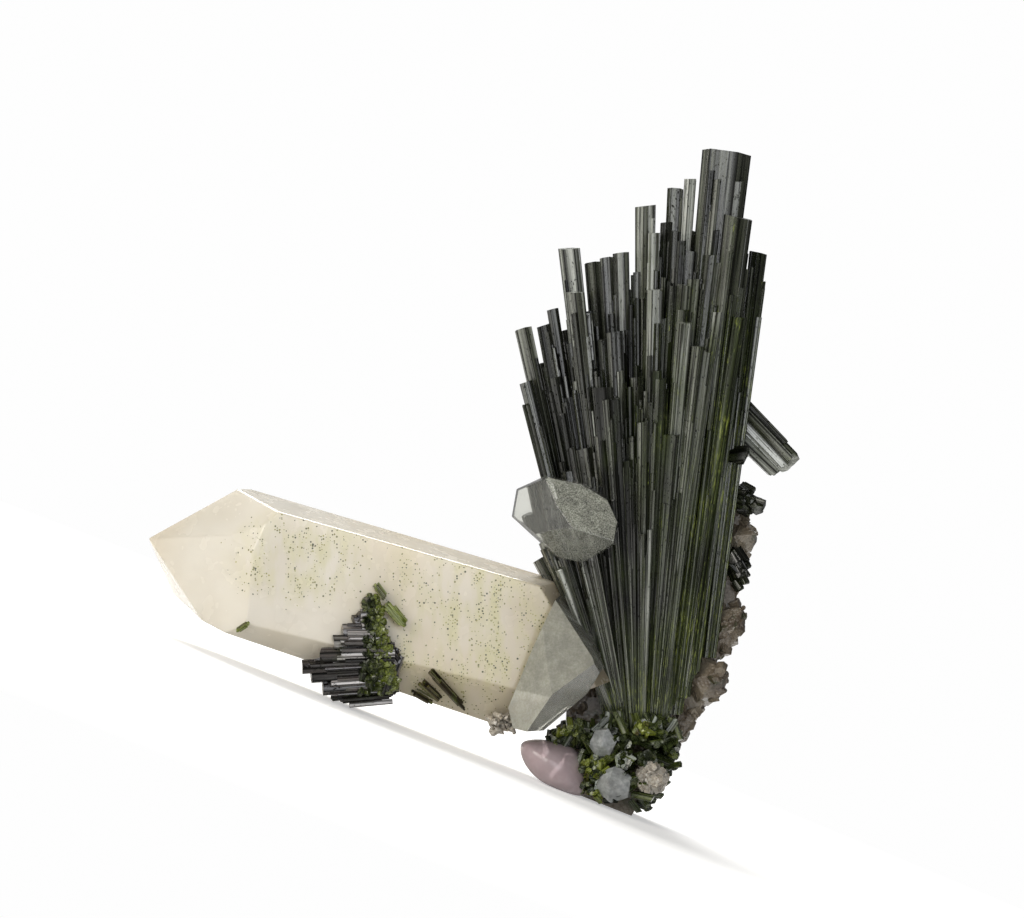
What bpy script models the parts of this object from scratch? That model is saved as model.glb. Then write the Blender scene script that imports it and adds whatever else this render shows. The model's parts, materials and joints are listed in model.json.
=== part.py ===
# Epidote on quartz: a spray of dark epidote prisms with quartz crystals.
#
# The crystals are laid out in millimetres as the specimen is held upright: x runs across to
# the right, y away from the viewer and z up, from the lowest point of the broken foot. At the
# end everything is leaned over, so that it rests on the foot and on the bundle of epidote under
# the large quartz.

import math
import random

import bmesh
import bpy
from mathutils import Matrix, Vector

# Driving dimensions, in millimetres and degrees
MM = 0.001
REST_LEFT = Vector((-47.3, 0.0, 18.6))  # the specimen rests on the epidote bundle there
REST_RIGHT = Vector((-0.8, 0.0, 0.2))   # and on the foot's broken end
LEAN = math.atan2(REST_LEFT.z - REST_RIGHT.z, REST_RIGHT.x - REST_LEFT.x)
GAP = 0.3                      # between neighbouring solids
LUMP_GAP = 0.45                # how far a lump's corners move out for its neighbours' room
BLOCK = 400.0                  # starting cube that a quartz crystal is cut from
BOX_MIDDLE = Vector((-39.75, 1.05, 0.0))  # of the resting part, across and in depth
RHOMB_ANGLE = math.radians(51.8)        # between a quartz point's faces and its long axis

PRISM_FLATNESS = 0.85          # depth of an epidote prism against its width

FAN_ORIGIN = Vector((2.4, 1.5, 13.5))   # the epidote prisms spread from here
FAN_SPREAD = 0.24              # how far apart the feet are, against the tips
FAN_DEPTH_SPREAD = 0.3         # the same from front to back
FAN_TAPER = 0.55               # foot width against tip width
FAN_SEED = 11
RIGHT_EDGE = (15.0, 22.0)      # between these places the prisms start further out and higher
RIGHT_SPREAD = 0.36
RIGHT_RISE = 12.0

# Quartz crystals: each face is a plane through three of its points

LARGE_QUARTZ_MIDDLE = Vector((-42.0, 0.0, 34.0))
LARGE_QUARTZ_TIP = (-76.2, -5.0, 44.3)
LARGE_QUARTZ_CORNER = (-67.2, -12.5, 31.3)     # lowest point of the broad tip face
LARGE_QUARTZ_SHOULDER = (-61.8, -7.0, 52.2)
LARGE_QUARTZ_BROW = (-54.9, -15.0, 48.6)       # left end of the front face's upper edge
LARGE_QUARTZ_HEEL = (-72.5, 0.0, 35.2)
LARGE_QUARTZ_FACES = [
    # front prism face
    (LARGE_QUARTZ_BROW, (-14.7, -9.5, 37.1), (-64.5, -17.5, 34.4)),
    # bright face along the top
    (LARGE_QUARTZ_BROW, (-14.7, -9.5, 37.1), LARGE_QUARTZ_SHOULDER),
    # top towards the back
    ((-56.0, -3.5, 50.9), (-15.8, -0.5, 39.0), (-38.1, 10.5, 38.3)),
    # lower face towards the front
    ((-62.0, -17.3, 31.5), (-20.0, -11.4, 21.0), (-44.0, -10.5, 22.7)),
    # bottom
    (LARGE_QUARTZ_CORNER, (-20.8, -7.0, 14.2), LARGE_QUARTZ_HEEL),
    # back
    ((-54.9, 8.0, 48.6), (-14.7, 12.5, 37.1), (-64.5, 5.5, 34.4)),
    # lower back edge
    ((-60.0, 3.0, 28.0), (-20.8, 7.0, 16.0), (-50.0, 9.5, 31.0)),
    # termination: broad front face
    (LARGE_QUARTZ_TIP, (-59.0, -16.0, 42.7), LARGE_QUARTZ_CORNER),
    # termination: upper face
    (LARGE_QUARTZ_TIP, LARGE_QUARTZ_SHOULDER, LARGE_QUARTZ_BROW),
    # termination: narrow lower face
    (LARGE_QUARTZ_TIP, LARGE_QUARTZ_CORNER, LARGE_QUARTZ_HEEL),
    # termination: back
    (LARGE_QUARTZ_TIP, LARGE_QUARTZ_HEEL, (-60.0, 10.0, 38.0)),
    # termination: upper back
    (LARGE_QUARTZ_TIP, LARGE_QUARTZ_SHOULDER, (-58.0, 8.0, 49.0)),
    # small bright facet between the broad faces
    ((-64.6, -12.3, 45.0), (-59.0, -14.75, 45.9), (-59.0, -15.95, 42.7)),
    # broken end, along the fan's flank
    ((-14.8, -10.0, 38.4), (-6.0, -10.0, 22.5), (-8.5, 8.0, 41.0)),
    ((-20.8, -7.0, 14.2), (-3.5, -6.0, 21.0), (-12.0, 8.0, 17.0)),
]

SIDE_QUARTZ_MIDDLE = Vector((-11.5, -10.0, 22.5))
SIDE_QUARTZ_RIDGE = ((-11.8, -17.5, 19.8), (-6.2, -15.5, 23.8), (-16.0, -15.0, 16.5))
SIDE_QUARTZ_FACES = [
    # broad upper face
    (SIDE_QUARTZ_RIDGE[0], SIDE_QUARTZ_RIDGE[1], (-11.2, -11.0, 34.6)),
    # face below the ridge
    (SIDE_QUARTZ_RIDGE[0], SIDE_QUARTZ_RIDGE[1], (-9.1, -11.5, 16.5)),
    # left face
    (SIDE_QUARTZ_RIDGE[0], SIDE_QUARTZ_RIDGE[2], (-17.3, -12.0, 22.7)),
    # edges that run back
    ((-11.2, -11.0, 34.6), (-5.3, -11.0, 26.6), (-7.0, -4.0, 31.0)),
    ((-5.3, -11.0, 26.6), (-4.0, -11.0, 23.2), (-4.2, -4.0, 26.0)),
    ((-4.0, -11.0, 23.2), (-6.1, -11.0, 19.8), (-4.4, -4.0, 22.0)),
    ((-6.1, -11.0, 19.8), (-13.0, -11.0, 14.2), (-9.0, -4.0, 18.0)),
    ((-13.0, -11.0, 14.2), (-17.9, -11.0, 14.7), (-15.0, -4.0, 15.2)),
    ((-17.9, -11.0, 14.7), (-18.6, -11.0, 17.4), (-18.0, -4.0, 16.2)),
    ((-18.6, -11.0, 17.4), (-15.5, -11.0, 25.0), (-16.5, -4.0, 21.0)),
    ((-15.5, -11.0, 25.0), (-11.2, -11.0, 34.6), (-13.0, -4.0, 29.0)),
    # back
    ((-11.2, -3.0, 34.6), (-4.0, -3.0, 23.2), (-18.6, -3.0, 17.4)),
]

CLEAR_QUARTZ_MIDDLE = Vector((-9.5, -11.0, 47.5))
CLEAR_QUARTZ_FACES = [
    # large dusty face, towards the viewer
    ((-11.0, -16.5, 49.8), (-8.5, -17.5, 46.1), (-3.0, -14.0, 50.6)),
    # small bright facet
    ((-11.0, -16.5, 49.8), (-11.8, -16.3, 45.8), (-8.5, -17.5, 46.1)),
    # dark prism face
    ((-11.0, -16.5, 49.8), (-11.8, -16.3, 45.8), (-17.1, -12.5, 52.0)),
    # smooth lower face
    ((-11.8, -16.3, 45.8), (-8.5, -17.5, 46.1), (-13.4, -12.5, 42.9)),
    # edges that run back
    ((-17.1, -12.5, 52.0), (-12.5, -12.5, 54.1), (-15.0, -5.0, 53.2)),
    ((-12.5, -12.5, 54.1), (-7.0, -12.5, 53.0), (-9.8, -5.0, 53.8)),
    ((-7.0, -12.5, 53.0), (-3.0, -12.5, 50.6), (-4.8, -5.0, 52.2)),
    ((-3.0, -12.5, 50.6), (-1.3, -12.5, 47.0), (-1.9, -5.0, 49.0)),
    ((-1.3, -12.5, 47.0), (-1.9, -12.5, 43.5), (-1.2, -5.0, 45.2)),
    ((-1.9, -12.5, 43.5), (-6.9, -12.5, 40.6), (-4.2, -5.0, 41.7)),
    ((-6.9, -12.5, 40.6), (-10.6, -12.5, 41.4), (-8.8, -5.0, 40.7)),
    ((-10.6, -12.5, 41.4), (-17.8, -12.5, 48.0), (-14.2, -5.0, 44.2)),
    ((-17.8, -12.5, 48.0), (-17.1, -12.5, 52.0), (-17.7, -5.0, 50.0)),
    # back
    ((-17.0, -4.0, 50.0), (-3.0, -4.0, 50.0), (-10.0, -4.0, 42.0)),
]

LILAC_QUARTZ_CORNERS = [
    (-17.3, -5.0, 9.6), (-15.2, -5.0, 11.8), (-12.2, -5.5, 11.9), (-8.5, -5.5, 10.9),
    (-6.6, -5.0, 7.2), (-6.0, -4.5, 4.4), (-7.0, -4.0, 2.5), (-11.0, -4.0, 3.3),
    (-15.8, -4.5, 6.7), (-13.8, -8.6, 9.4), (-10.2, -9.2, 8.4), (-8.6, -8.6, 5.2),
    (-12.2, -8.4, 5.8), (-15.0, 1.0, 10.6), (-8.4, 1.5, 9.6), (-7.6, 1.5, 3.6), (-12.0, 1.0, 5.0),
]

# Broken quartz that carries the fan from behind
MATRIX_LUMPS = [
    [(-6.0, 4.0, 38.0), (8.0, 4.5, 50.0), (19.0, 5.0, 50.5), (20.6, 6.0, 45.0), (17.8, 4.0, 33.0),
     (-8.0, 4.0, 20.0), (14.0, 4.0, 21.0), (-4.0, 13.0, 36.0), (4.0, 14.5, 46.0), (17.0, 13.0, 47.0),
     (17.5, 14.0, 33.0), (-5.0, 14.0, 20.0), (12.0, 15.0, 21.0), (6.0, 17.5, 33.0)],
    [(-9.0, 3.5, 24.0), (12.5, 3.5, 26.0), (15.0, 2.0, 21.0), (9.6, 2.5, 12.5), (-9.5, 3.0, 12.0),
     (-6.0, 3.5, -1.0), (-0.4, 3.0, -3.0), (-7.5, 15.5, 23.0), (11.0, 16.0, 25.0), (10.6, 14.5, 13.0),
     (-7.0, 16.5, 10.0), (-4.0, 15.0, -1.0), (0.2, 13.0, -3.0), (3.0, 18.5, 12.0)],
]
MATRIX_POINTS = [              # foot, tip, width of the small crystals that stand on it
    ((14.0, 6.0, 27.0), (19.2, 1.5, 33.5), 5.2),
    ((12.0, 5.0, 20.0), (15.6, -2.5, 23.2), 5.8),
    ((17.0, 7.0, 43.0), (21.6, 2.0, 45.2), 4.4),
    ((10.0, 12.0, 30.0), (14.0, 20.0, 33.0), 5.5),
    ((0.0, 13.0, 24.0), (-3.5, 20.5, 28.0), 6.5),
    ((8.0, 12.0, 42.0), (6.0, 18.5, 48.0), 5.0),
    ((4.0, 13.0, 12.0), (8.0, 21.0, 14.5), 6.0),
]

# Small grey quartz crystals in the foot: foot, tip, width
BASE_QUARTZ = {
    "base_quartz_block": ((-1.4, -3.0, 4.8), (-2.4, -10.0, 5.2), 5.4),
    "base_quartz_upper": ((-3.6, -4.0, 12.0), (-3.8, -9.6, 11.2), 4.2),
    "base_quartz_sugary": ((4.2, -2.5, 6.2), (4.8, -8.2, 5.8), 4.0),
}

# Epidote prisms of the fan: across, depth and height of the tip, and width
FAN_PRISMS = [
    (16.6, -2.5, 107.0, 8.4), (18.2, -5.0, 96.3, 5.8), (21.7, 1.0, 90.5, 3.6), (10.6, 0.5, 102.3, 2.4),
    (8.3, 2.0, 100.8, 2.8), (3.4, 1.0, 98.2, 4.4), (4.7, -2.5, 93.4, 2.2), (6.7, -1.0, 95.2, 2.4),
    (8.1, -3.0, 93.7, 2.0), (9.1, -4.0, 92.1, 1.8), (-9.0, 0.0, 91.3, 4.2), (-5.3, -1.5, 88.8, 3.0),
    (-3.0, 0.5, 89.6, 2.4), (-0.6, -1.0, 90.4, 3.1), (-8.0, -4.5, 84.1, 3.8), (-16.5, -1.5, 78.2, 3.2),
    (-13.1, -1.5, 78.7, 2.6), (-11.6, 0.5, 81.3, 2.2), (4.8, -6.0, 84.4, 3.2), (7.5, -5.5, 84.8, 2.0),
    (9.3, -5.5, 85.1, 2.4), (-1.8, -6.0, 77.6, 3.1), (-3.5, -4.5, 76.4, 2.3), (8.6, -8.0, 74.8, 2.4),
    (13.8, -5.5, 89.8, 2.2), (-3.7, -9.0, 68.8, 3.8), (-2.0, -9.6, 66.8, 2.6), (5.6, -8.5, 70.0, 2.2),
    (-15.9, -3.5, 69.6, 2.6),
]
# Short prisms on the left, under the clear quartz, from their own foot
SHORT_FOOT = Vector((-0.3, -0.5, 13.5))
SHORT_PRISMS = [
    (-14.0, -2.0, 41.1, 2.4), (-12.6, -4.5, 43.0, 2.4), (-10.6, -5.5, 44.0, 2.6), (-12.4, -0.5, 48.0, 2.4),
    (-9.2, -2.5, 47.0, 2.8), (-8.0, -6.5, 46.0, 2.6),
]
# Outline of the fan's tops: across, height
FAN_TOPS = [(-16.0, 74.0), (-9.0, 86.0), (0.0, 87.0), (4.0, 92.0), (10.0, 97.0), (16.0, 100.0), (21.5, 86.0)]
# Rows of prisms that fill the fan: depth, first and last place across, range below the tops, width
FILL_ROWS = [
    (5.5, -13.0, 20.0, (2.0, 9.0), (3.6, 4.8)),
    (0.5, -14.0, 20.5, (7.0, 15.0), (3.4, 4.4)),
    (-4.5, -13.0, 18.5, (16.0, 30.0), (3.0, 4.0)),
    (-8.5, -9.0, 16.0, (26.0, 48.0), (2.8, 3.6)),
]
FILL_STEP = 2.9

# Epidote at the back right: a broken bundle that points down, a nub and two rough lumps
BLADE_PRISMS = [
    ((17.0, 3.0, 67.6), (27.6, 1.5, 56.4), 2.8), ((15.8, 3.6, 66.4), (26.4, 2.4, 55.2), 2.8),
    ((15.6, 4.0, 63.4), (24.8, 3.2, 54.6), 2.8), ((18.0, 4.8, 67.2), (27.0, 4.2, 56.8), 2.8),
    ((16.0, 5.4, 64.8), (24.0, 4.8, 55.8), 2.8), ((14.0, 4.0, 62.6), (19.6, 3.4, 57.0), 4.6),
]
BLADE_SEED = 4
RIGHT_LUMPS = [
    [(17.0, 0.0, 54.6), (20.6, 0.0, 51.6), (23.9, 1.0, 50.2), (22.8, 2.0, 48.4), (19.6, 0.5, 46.6),
     (15.6, 0.5, 48.6), (17.2, 5.5, 53.4), (22.4, 6.0, 49.6), (16.4, 6.0, 48.0), (19.8, 6.5, 46.8)],
    [(20.4, 1.0, 43.4), (21.2, 0.5, 40.6), (20.6, 1.0, 37.0), (18.8, 0.5, 35.2), (14.2, 0.0, 36.0),
     (14.0, 1.0, 39.6), (17.4, 0.0, 43.2), (20.0, 6.0, 42.4), (19.6, 6.5, 36.4), (15.0, 6.0, 38.4)],
]
LUMP_PRISMS = 7                # short prisms that stand out of each lump
LUMP_SEED = 21

# Epidote of the foot: the mass that the fan stands in and the short prisms all round it
FOOT_CORNERS = [
    (-15.0, -3.0, 12.5), (-10.0, -5.5, 13.0), (-3.0, -5.5, 15.0), (5.0, -5.0, 15.5), (9.6, -2.5, 14.0),
    (6.4, -4.5, 7.0), (2.6, -5.5, 3.0), (-0.6, -5.5, -2.5), (-4.6, -5.0, -1.0), (-5.6, -3.0, 6.0),
    (-4.0, 3.4, 14.0), (9.0, 3.4, 12.0), (4.6, 3.4, 3.0), (-3.0, 3.4, -2.0), (2.0, 3.4, -3.0),
]
FOOT_MIDDLE = Vector((-0.5, 1.0, 8.5))
FOOT_PRISMS = 46
FOOT_SEED = 7

# Stepped bundle of prisms on the large quartz: left end, right end, width
CLUSTER_PRISMS = [
    ((-47.0, -12.4, 18.9), (-37.0, -11.6, 19.8), 3.0), ((-48.4, -13.0, 20.6), (-36.0, -12.2, 21.4), 3.0),
    ((-50.2, -13.6, 22.4), (-37.5, -13.0, 23.1), 2.8), ((-51.6, -14.4, 24.0), (-37.8, -13.8, 24.8), 2.8),
    ((-48.6, -15.2, 26.0), (-36.6, -14.6, 26.4), 3.0), ((-46.6, -15.8, 28.0), (-38.0, -15.0, 28.0), 3.0),
    ((-45.2, -15.8, 29.6), (-38.6, -15.2, 29.6), 3.0), ((-43.4, -15.6, 31.2), (-38.8, -14.8, 31.4), 2.8),
    ((-42.0, -15.4, 33.0), (-40.8, -14.8, 29.0), 2.4), ((-39.8, -15.2, 30.2), (-36.4, -13.8, 25.0), 2.8),
    ((-38.6, -13.4, 20.0), (-36.2, -13.2, 26.0), 3.2), ((-47.2, -10.6, 19.8), (-37.6, -10.2, 20.6), 4.2),
    ((-47.6, -8.4, 19.9), (-36.6, -8.2, 20.6), 4.2), ((-47.0, -6.2, 20.0), (-38.2, -6.0, 20.4), 4.2),
    ((-47.5, -4.0, 20.0), (-37.4, -4.0, 20.6), 4.2), ((-47.2, -1.8, 19.9), (-37.8, -1.9, 20.5), 4.2),
    ((-49.6, -9.6, 22.2), (-38.0, -9.2, 22.6), 4.0), ((-48.8, -6.6, 22.4), (-38.6, -6.4, 22.8), 4.2),
    ((-49.2, -3.6, 22.6), (-38.2, -3.4, 23.0), 4.2),
]
CLUSTER_SEED = 3

# Small green prisms on the large quartz: lower and upper end across and up, and width
SPRIGS = {
    "epidote_sprig_upper": ((-38.0, 34.9), (-39.7, 37.2), 1.6),
    "epidote_sprig_middle": ((-35.0, 30.6), (-38.2, 34.4), 2.2),
    "epidote_sprig_left": ((-61.5, 29.9), (-59.7, 31.1), 1.1),
    "epidote_sprig_low_1": ((-31.0, 18.4), (-33.8, 20.1), 1.6),
    "epidote_sprig_low_2": ((-29.4, 18.9), (-32.4, 21.8), 1.6),
    "epidote_sprig_low_3": ((-25.8, 17.4), (-31.2, 23.6), 1.6),
}
SPRIG_SEED = 8

# Scene, materials and objects


def clear_scene():
    for old in list(bpy.data.objects):
        bpy.data.objects.remove(old, do_unlink=True)


def make_collection(name):
    collection = bpy.data.collections.new(name)
    bpy.context.scene.collection.children.link(collection)
    return collection


def make_material(name, colour, roughness, alpha=1.0):
    material = bpy.data.materials.new(name)
    material.use_nodes = True
    shader = material.node_tree.nodes["Principled BSDF"]
    shader.inputs["Base Color"].default_value = (*colour, 1.0)
    shader.inputs["Roughness"].default_value = roughness
    shader.inputs["Metallic"].default_value = 0.0
    shader.inputs["Alpha"].default_value = alpha
    return material


def add_object(name, bm, collection, material=None):
    mesh = bpy.data.meshes.new(name)
    bm.to_mesh(mesh)
    bm.free()
    obj = bpy.data.objects.new(name, mesh)
    collection.objects.link(obj)
    if material:
        mesh.materials.append(material)
    else:
        obj.hide_render = True
        obj.display_type = "WIRE"
    return obj


# Shapes


def face_plane(face, middle):
    # A point on the face's plane and its normal, pointing away from the crystal's middle
    a, b, c = (Vector(point) for point in face)
    normal = (b - a).cross(c - a).normalized()
    if normal.dot(a - middle) < 0:
        normal.negate()
    return a, normal


def cut_away(bm, point, normal):
    # Take off what lies beyond a plane, and close the cut
    geometry = bm.verts[:] + bm.edges[:] + bm.faces[:]
    cut = bmesh.ops.bisect_plane(bm, geom=geometry, plane_co=point, plane_no=normal,
                                 clear_outer=True, dist=1e-6)
    rim = [edge for edge in cut["geom_cut"] if isinstance(edge, bmesh.types.BMEdge)]
    if rim:
        bmesh.ops.contextual_create(bm, geom=rim)


def crystal(middle, faces, grow=0.0):
    # A cube cut down to a crystal by the planes of its faces
    bm = bmesh.new()
    bmesh.ops.create_cube(bm, size=BLOCK, matrix=Matrix.Translation(middle))
    for face in faces:
        point, normal = face_plane(face, middle)
        cut_away(bm, point + normal * grow, normal)
    return bm


def quartz_point(foot, tip, width, seed, grow=0.0):
    # A small crystal with six sides and a six-faced point
    rng = random.Random(seed)
    foot, tip = Vector(foot), Vector(tip)
    axis = (tip - foot).normalized()
    side = axis.orthogonal().normalized()
    turn = rng.uniform(0, math.tau)
    bm = bmesh.new()
    bmesh.ops.create_cube(bm, size=BLOCK, matrix=Matrix.Translation((foot + tip) / 2))
    cut_away(bm, foot - axis * grow, -axis)
    for number in range(6):
        outward = Matrix.Rotation(turn + number * math.tau / 6, 3, axis) @ side
        sloping = axis * math.cos(RHOMB_ANGLE) + outward * math.sin(RHOMB_ANGLE)
        cut_away(bm, foot + outward * (width / 2 * rng.uniform(0.88, 1.1) + grow), outward)
        cut_away(bm, tip + sloping * (grow - rng.uniform(0.0, 0.12) * width), sloping)
    return bm


def lump(corners, grow=0.0):
    # A rough broken piece: the hull of its corners
    points = [Vector(corner) for corner in corners]
    middle = sum(points, Vector()) / len(points)
    bm = bmesh.new()
    for point in points:
        bm.verts.new(point + (point - middle).normalized() * grow)
    bmesh.ops.convex_hull(bm, input=bm.verts[:])
    inside = [vert for vert in bm.verts if not vert.link_faces]
    bmesh.ops.delete(bm, geom=inside, context="VERTS")
    return bm


def add_prism(bm, foot, tip, width, rng, taper=1.0, roof=0.0):
    # One epidote prism: an uneven six-sided bar, with a slanted end or a roof-shaped one
    axis = tip - foot
    made = bmesh.ops.create_cone(bm, cap_ends=True, segments=6, radius1=width / 2 * taper,
                                 radius2=width / 2, depth=axis.length)
    uneven = [rng.uniform(0.88, 1.12) for _ in range(6)]
    slant_way = rng.uniform(0.0, math.tau)
    slant = rng.uniform(0.05, 0.35)
    for vert in made["verts"]:
        corner = round(math.atan2(vert.co.y, vert.co.x) / math.tau * 6) % 6
        across = vert.co.x * math.cos(slant_way) + vert.co.y * math.sin(slant_way)
        if vert.co.z > 0:
            vert.co.z += across * slant - abs(across) * roof
        vert.co.x *= uneven[corner]
        vert.co.y *= uneven[corner] * PRISM_FLATNESS
    upright = Vector((0.0, 1.0, 0.0)) if abs(axis.normalized().y) < 0.9 else Vector((0.0, 0.0, 1.0))
    z = axis.normalized()
    x = upright.cross(z).normalized()
    turn = Matrix((x, z.cross(x), z)).transposed().to_4x4()
    roll = Matrix.Rotation(rng.uniform(-0.4, 0.4), 4, "Z")
    place = Matrix.Translation((foot + tip) / 2) @ turn @ roll
    bmesh.ops.transform(bm, matrix=place, verts=made["verts"])


def boolean(obj, cutter, operation, own_overlaps=False):
    modifier = obj.modifiers.new(operation.lower(), "BOOLEAN")
    modifier.operation = operation
    modifier.object = cutter
    modifier.solver = "EXACT"
    modifier.use_self = own_overlaps
    graph = bpy.context.evaluated_depsgraph_get()
    result = bpy.data.meshes.new_from_object(obj.evaluated_get(graph))
    obj.modifiers.remove(modifier)
    obj.data = result


def make_room(obj, solids):
    # Cut an object back from its neighbours, and drop crumbs that this leaves loose
    for number, solid in enumerate(solids):
        boolean(obj, add_object(f"{obj.name}_room_{number}", solid, cutters), "DIFFERENCE")
    keep_largest(obj)


def keep_largest(obj):
    bm = bmesh.new()
    bm.from_mesh(obj.data)
    pieces = []
    waiting = set(bm.verts)
    while waiting:
        reached = [waiting.pop()]
        for vert in reached:
            for edge in vert.link_edges:
                other = edge.other_vert(vert)
                if other in waiting:
                    waiting.remove(other)
                    reached.append(other)
        pieces.append(reached)
    pieces.sort(key=len)
    for crumb in pieces[:-1]:
        bmesh.ops.delete(bm, geom=crumb, context="VERTS")
    bm.to_mesh(obj.data)
    bm.free()


# Room that each solid needs round it


def large_quartz_room():
    return crystal(LARGE_QUARTZ_MIDDLE, LARGE_QUARTZ_FACES, GAP)


def side_quartz_room():
    return crystal(SIDE_QUARTZ_MIDDLE, SIDE_QUARTZ_FACES, GAP)


def clear_quartz_room():
    return crystal(CLEAR_QUARTZ_MIDDLE, CLEAR_QUARTZ_FACES, GAP)


def lilac_quartz_room():
    return lump(LILAC_QUARTZ_CORNERS, LUMP_GAP)


def matrix_room():
    lumps = [lump(corners, LUMP_GAP) for corners in MATRIX_LUMPS]
    points = [quartz_point(*sizes, seed, GAP) for seed, sizes in enumerate(MATRIX_POINTS)]
    return lumps + points


def base_quartz_room():
    return [quartz_point(*sizes, seed, GAP) for seed, sizes in enumerate(BASE_QUARTZ.values())]


def below_surface():
    # All that lies below the surface that the specimen rests on
    down = Vector((-math.sin(LEAN), 0.0, -math.cos(LEAN)))
    bm = bmesh.new()
    bmesh.ops.create_cube(bm, size=BLOCK, matrix=Matrix.Translation(REST_RIGHT + down * BLOCK / 2) @
                          Matrix.Rotation(LEAN, 4, "Y"))
    return bm


# Sub-parts


def add_matrix_quartz(material):
    bm = bmesh.new()
    mesh = bpy.data.meshes.new("points")
    for seed, sizes in enumerate(MATRIX_POINTS):
        point = quartz_point(*sizes, seed)
        point.to_mesh(mesh)
        point.free()
        bm.from_mesh(mesh)
    for corners in MATRIX_LUMPS[1:]:
        piece = lump(corners)
        piece.to_mesh(mesh)
        piece.free()
        bm.from_mesh(mesh)
    obj = add_object("matrix_quartz", bm, parts, material)
    boolean(obj, add_object("matrix_core", lump(MATRIX_LUMPS[0]), cutters), "UNION", own_overlaps=True)
    make_room(obj, [large_quartz_room(), side_quartz_room(), lilac_quartz_room(), *base_quartz_room(),
                    below_surface()])


def right_share(across):
    return min(max((across - RIGHT_EDGE[0]) / (RIGHT_EDGE[1] - RIGHT_EDGE[0]), 0.0), 1.0)


def fan_foot(tip):
    # Where the prism with this tip starts
    spread = FAN_SPREAD + RIGHT_SPREAD * right_share(tip.x)
    return Vector((FAN_ORIGIN.x + (tip.x - FAN_ORIGIN.x) * spread,
                   FAN_ORIGIN.y + (tip.y - FAN_ORIGIN.y) * FAN_DEPTH_SPREAD,
                   FAN_ORIGIN.z + RIGHT_RISE * right_share(tip.x) + 0.05 * tip.y))


def fan_top(across):
    # Height of the fan's outline there
    for (x0, z0), (x1, z1) in zip(FAN_TOPS, FAN_TOPS[1:]):
        if across <= x1:
            return z0 + (z1 - z0) * (across - x0) / (x1 - x0)
    return FAN_TOPS[-1][1]


def add_fan_prisms(bm):
    rng = random.Random(FAN_SEED)
    for across, depth, height, width in FAN_PRISMS:
        tip = Vector((across, depth, height))
        add_prism(bm, fan_foot(tip), tip, width, rng, FAN_TAPER)
    for across, depth, height, width in SHORT_PRISMS:
        start = SHORT_FOOT + Vector((rng.uniform(-0.6, 0.6), rng.uniform(-0.6, 0.6), rng.uniform(-0.4, 0.4)))
        add_prism(bm, start, Vector((across, depth, height)), width, rng, FAN_TAPER)
    for depth, first, last, below, widths in FILL_ROWS:
        across = first
        while across <= last:
            tip = Vector((across, depth + rng.uniform(-1.2, 1.2), fan_top(across) - rng.uniform(*below)))
            add_prism(bm, fan_foot(tip), tip, rng.uniform(*widths), rng, FAN_TAPER)
            across += FILL_STEP + rng.uniform(-0.4, 0.4)


def add_blade_prisms(bm):
    rng = random.Random(BLADE_SEED)
    for start, end, width in BLADE_PRISMS:
        add_prism(bm, Vector(start), Vector(end), width, rng)


def add_lumps(bm):
    rng = random.Random(LUMP_SEED)
    mesh = bpy.data.meshes.new("lump")
    for corners in RIGHT_LUMPS:
        middle = sum((Vector(corner) for corner in corners), Vector()) / len(corners)
        piece = lump(corners)
        piece.to_mesh(mesh)
        piece.free()
        bm.from_mesh(mesh)
        for _ in range(LUMP_PRISMS):
            way = Vector((rng.uniform(-0.2, 1.0), rng.uniform(-1.0, 0.6), rng.uniform(-1.0, 1.0)))
            way.normalize()
            start = middle + way * rng.uniform(-0.5, 0.8)
            add_prism(bm, start, start + way * rng.uniform(2.8, 3.8), rng.uniform(1.4, 2.4), rng, roof=0.4)


def add_foot_prisms(bm):
    # Stubby crystals round the foot: across in a row, pointing out to the front and sides
    rng = random.Random(FOOT_SEED)
    for _ in range(FOOT_PRISMS):
        start = Vector((rng.uniform(-9.0, 7.0), rng.uniform(-4.5, -2.0), rng.uniform(-7.0, 4.5)))
        start += FOOT_MIDDLE
        start.x *= 0.55 + 0.45 * (start.z + 2.0) / 15.0
        way = Vector((rng.uniform(-0.8, 0.8), rng.uniform(-1.0, -0.3), rng.uniform(-0.8, 0.5))).normalized()
        add_prism(bm, start, start + way * rng.uniform(4.0, 6.5), rng.uniform(1.8, 3.2), rng, roof=0.4)


def add_epidote_spray(material):
    bm = bmesh.new()
    add_fan_prisms(bm)
    add_blade_prisms(bm)
    add_lumps(bm)
    add_foot_prisms(bm)
    obj = add_object("epidote_spray", bm, parts, material)
    boolean(obj, add_object("spray_core", lump(FOOT_CORNERS), cutters), "UNION", own_overlaps=True)
    make_room(obj, [large_quartz_room(), side_quartz_room(), clear_quartz_room(), lilac_quartz_room(),
                    *matrix_room(), *base_quartz_room(), below_surface()])


def add_epidote_cluster(material):
    rng = random.Random(CLUSTER_SEED)
    bm = bmesh.new()
    core = bmesh.new()
    for number, (left, right, width) in enumerate(CLUSTER_PRISMS):
        add_prism(bm if number else core, Vector(right), Vector(left), width, rng)
    obj = add_object("epidote_cluster", bm, parts, material)
    boolean(obj, add_object("cluster_core", core, cutters), "UNION", own_overlaps=True)
    make_room(obj, [large_quartz_room(), below_surface()])


def large_quartz_depth(across, height):
    # How far back the large quartz's surface lies there, seen from the front
    depths = []
    for face in LARGE_QUARTZ_FACES:
        point, normal = face_plane(face, LARGE_QUARTZ_MIDDLE)
        if normal.y < -0.05:
            away = normal.x * (across - point.x) + normal.z * (height - point.z)
            depths.append(point.y - away / normal.y)
    return max(depths)


def add_sprigs(material):
    rng = random.Random(SPRIG_SEED)
    for name, (low, high, width) in SPRIGS.items():
        ends = []
        for across, height in (low, high):
            clear_of_face = large_quartz_depth(across, height) - GAP - width * 0.62
            ends.append(Vector((across, clear_of_face, height)))
        bm = bmesh.new()
        add_prism(bm, ends[0], ends[1], width, rng, roof=0.3)
        add_object(name, bm, parts, material)


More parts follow.
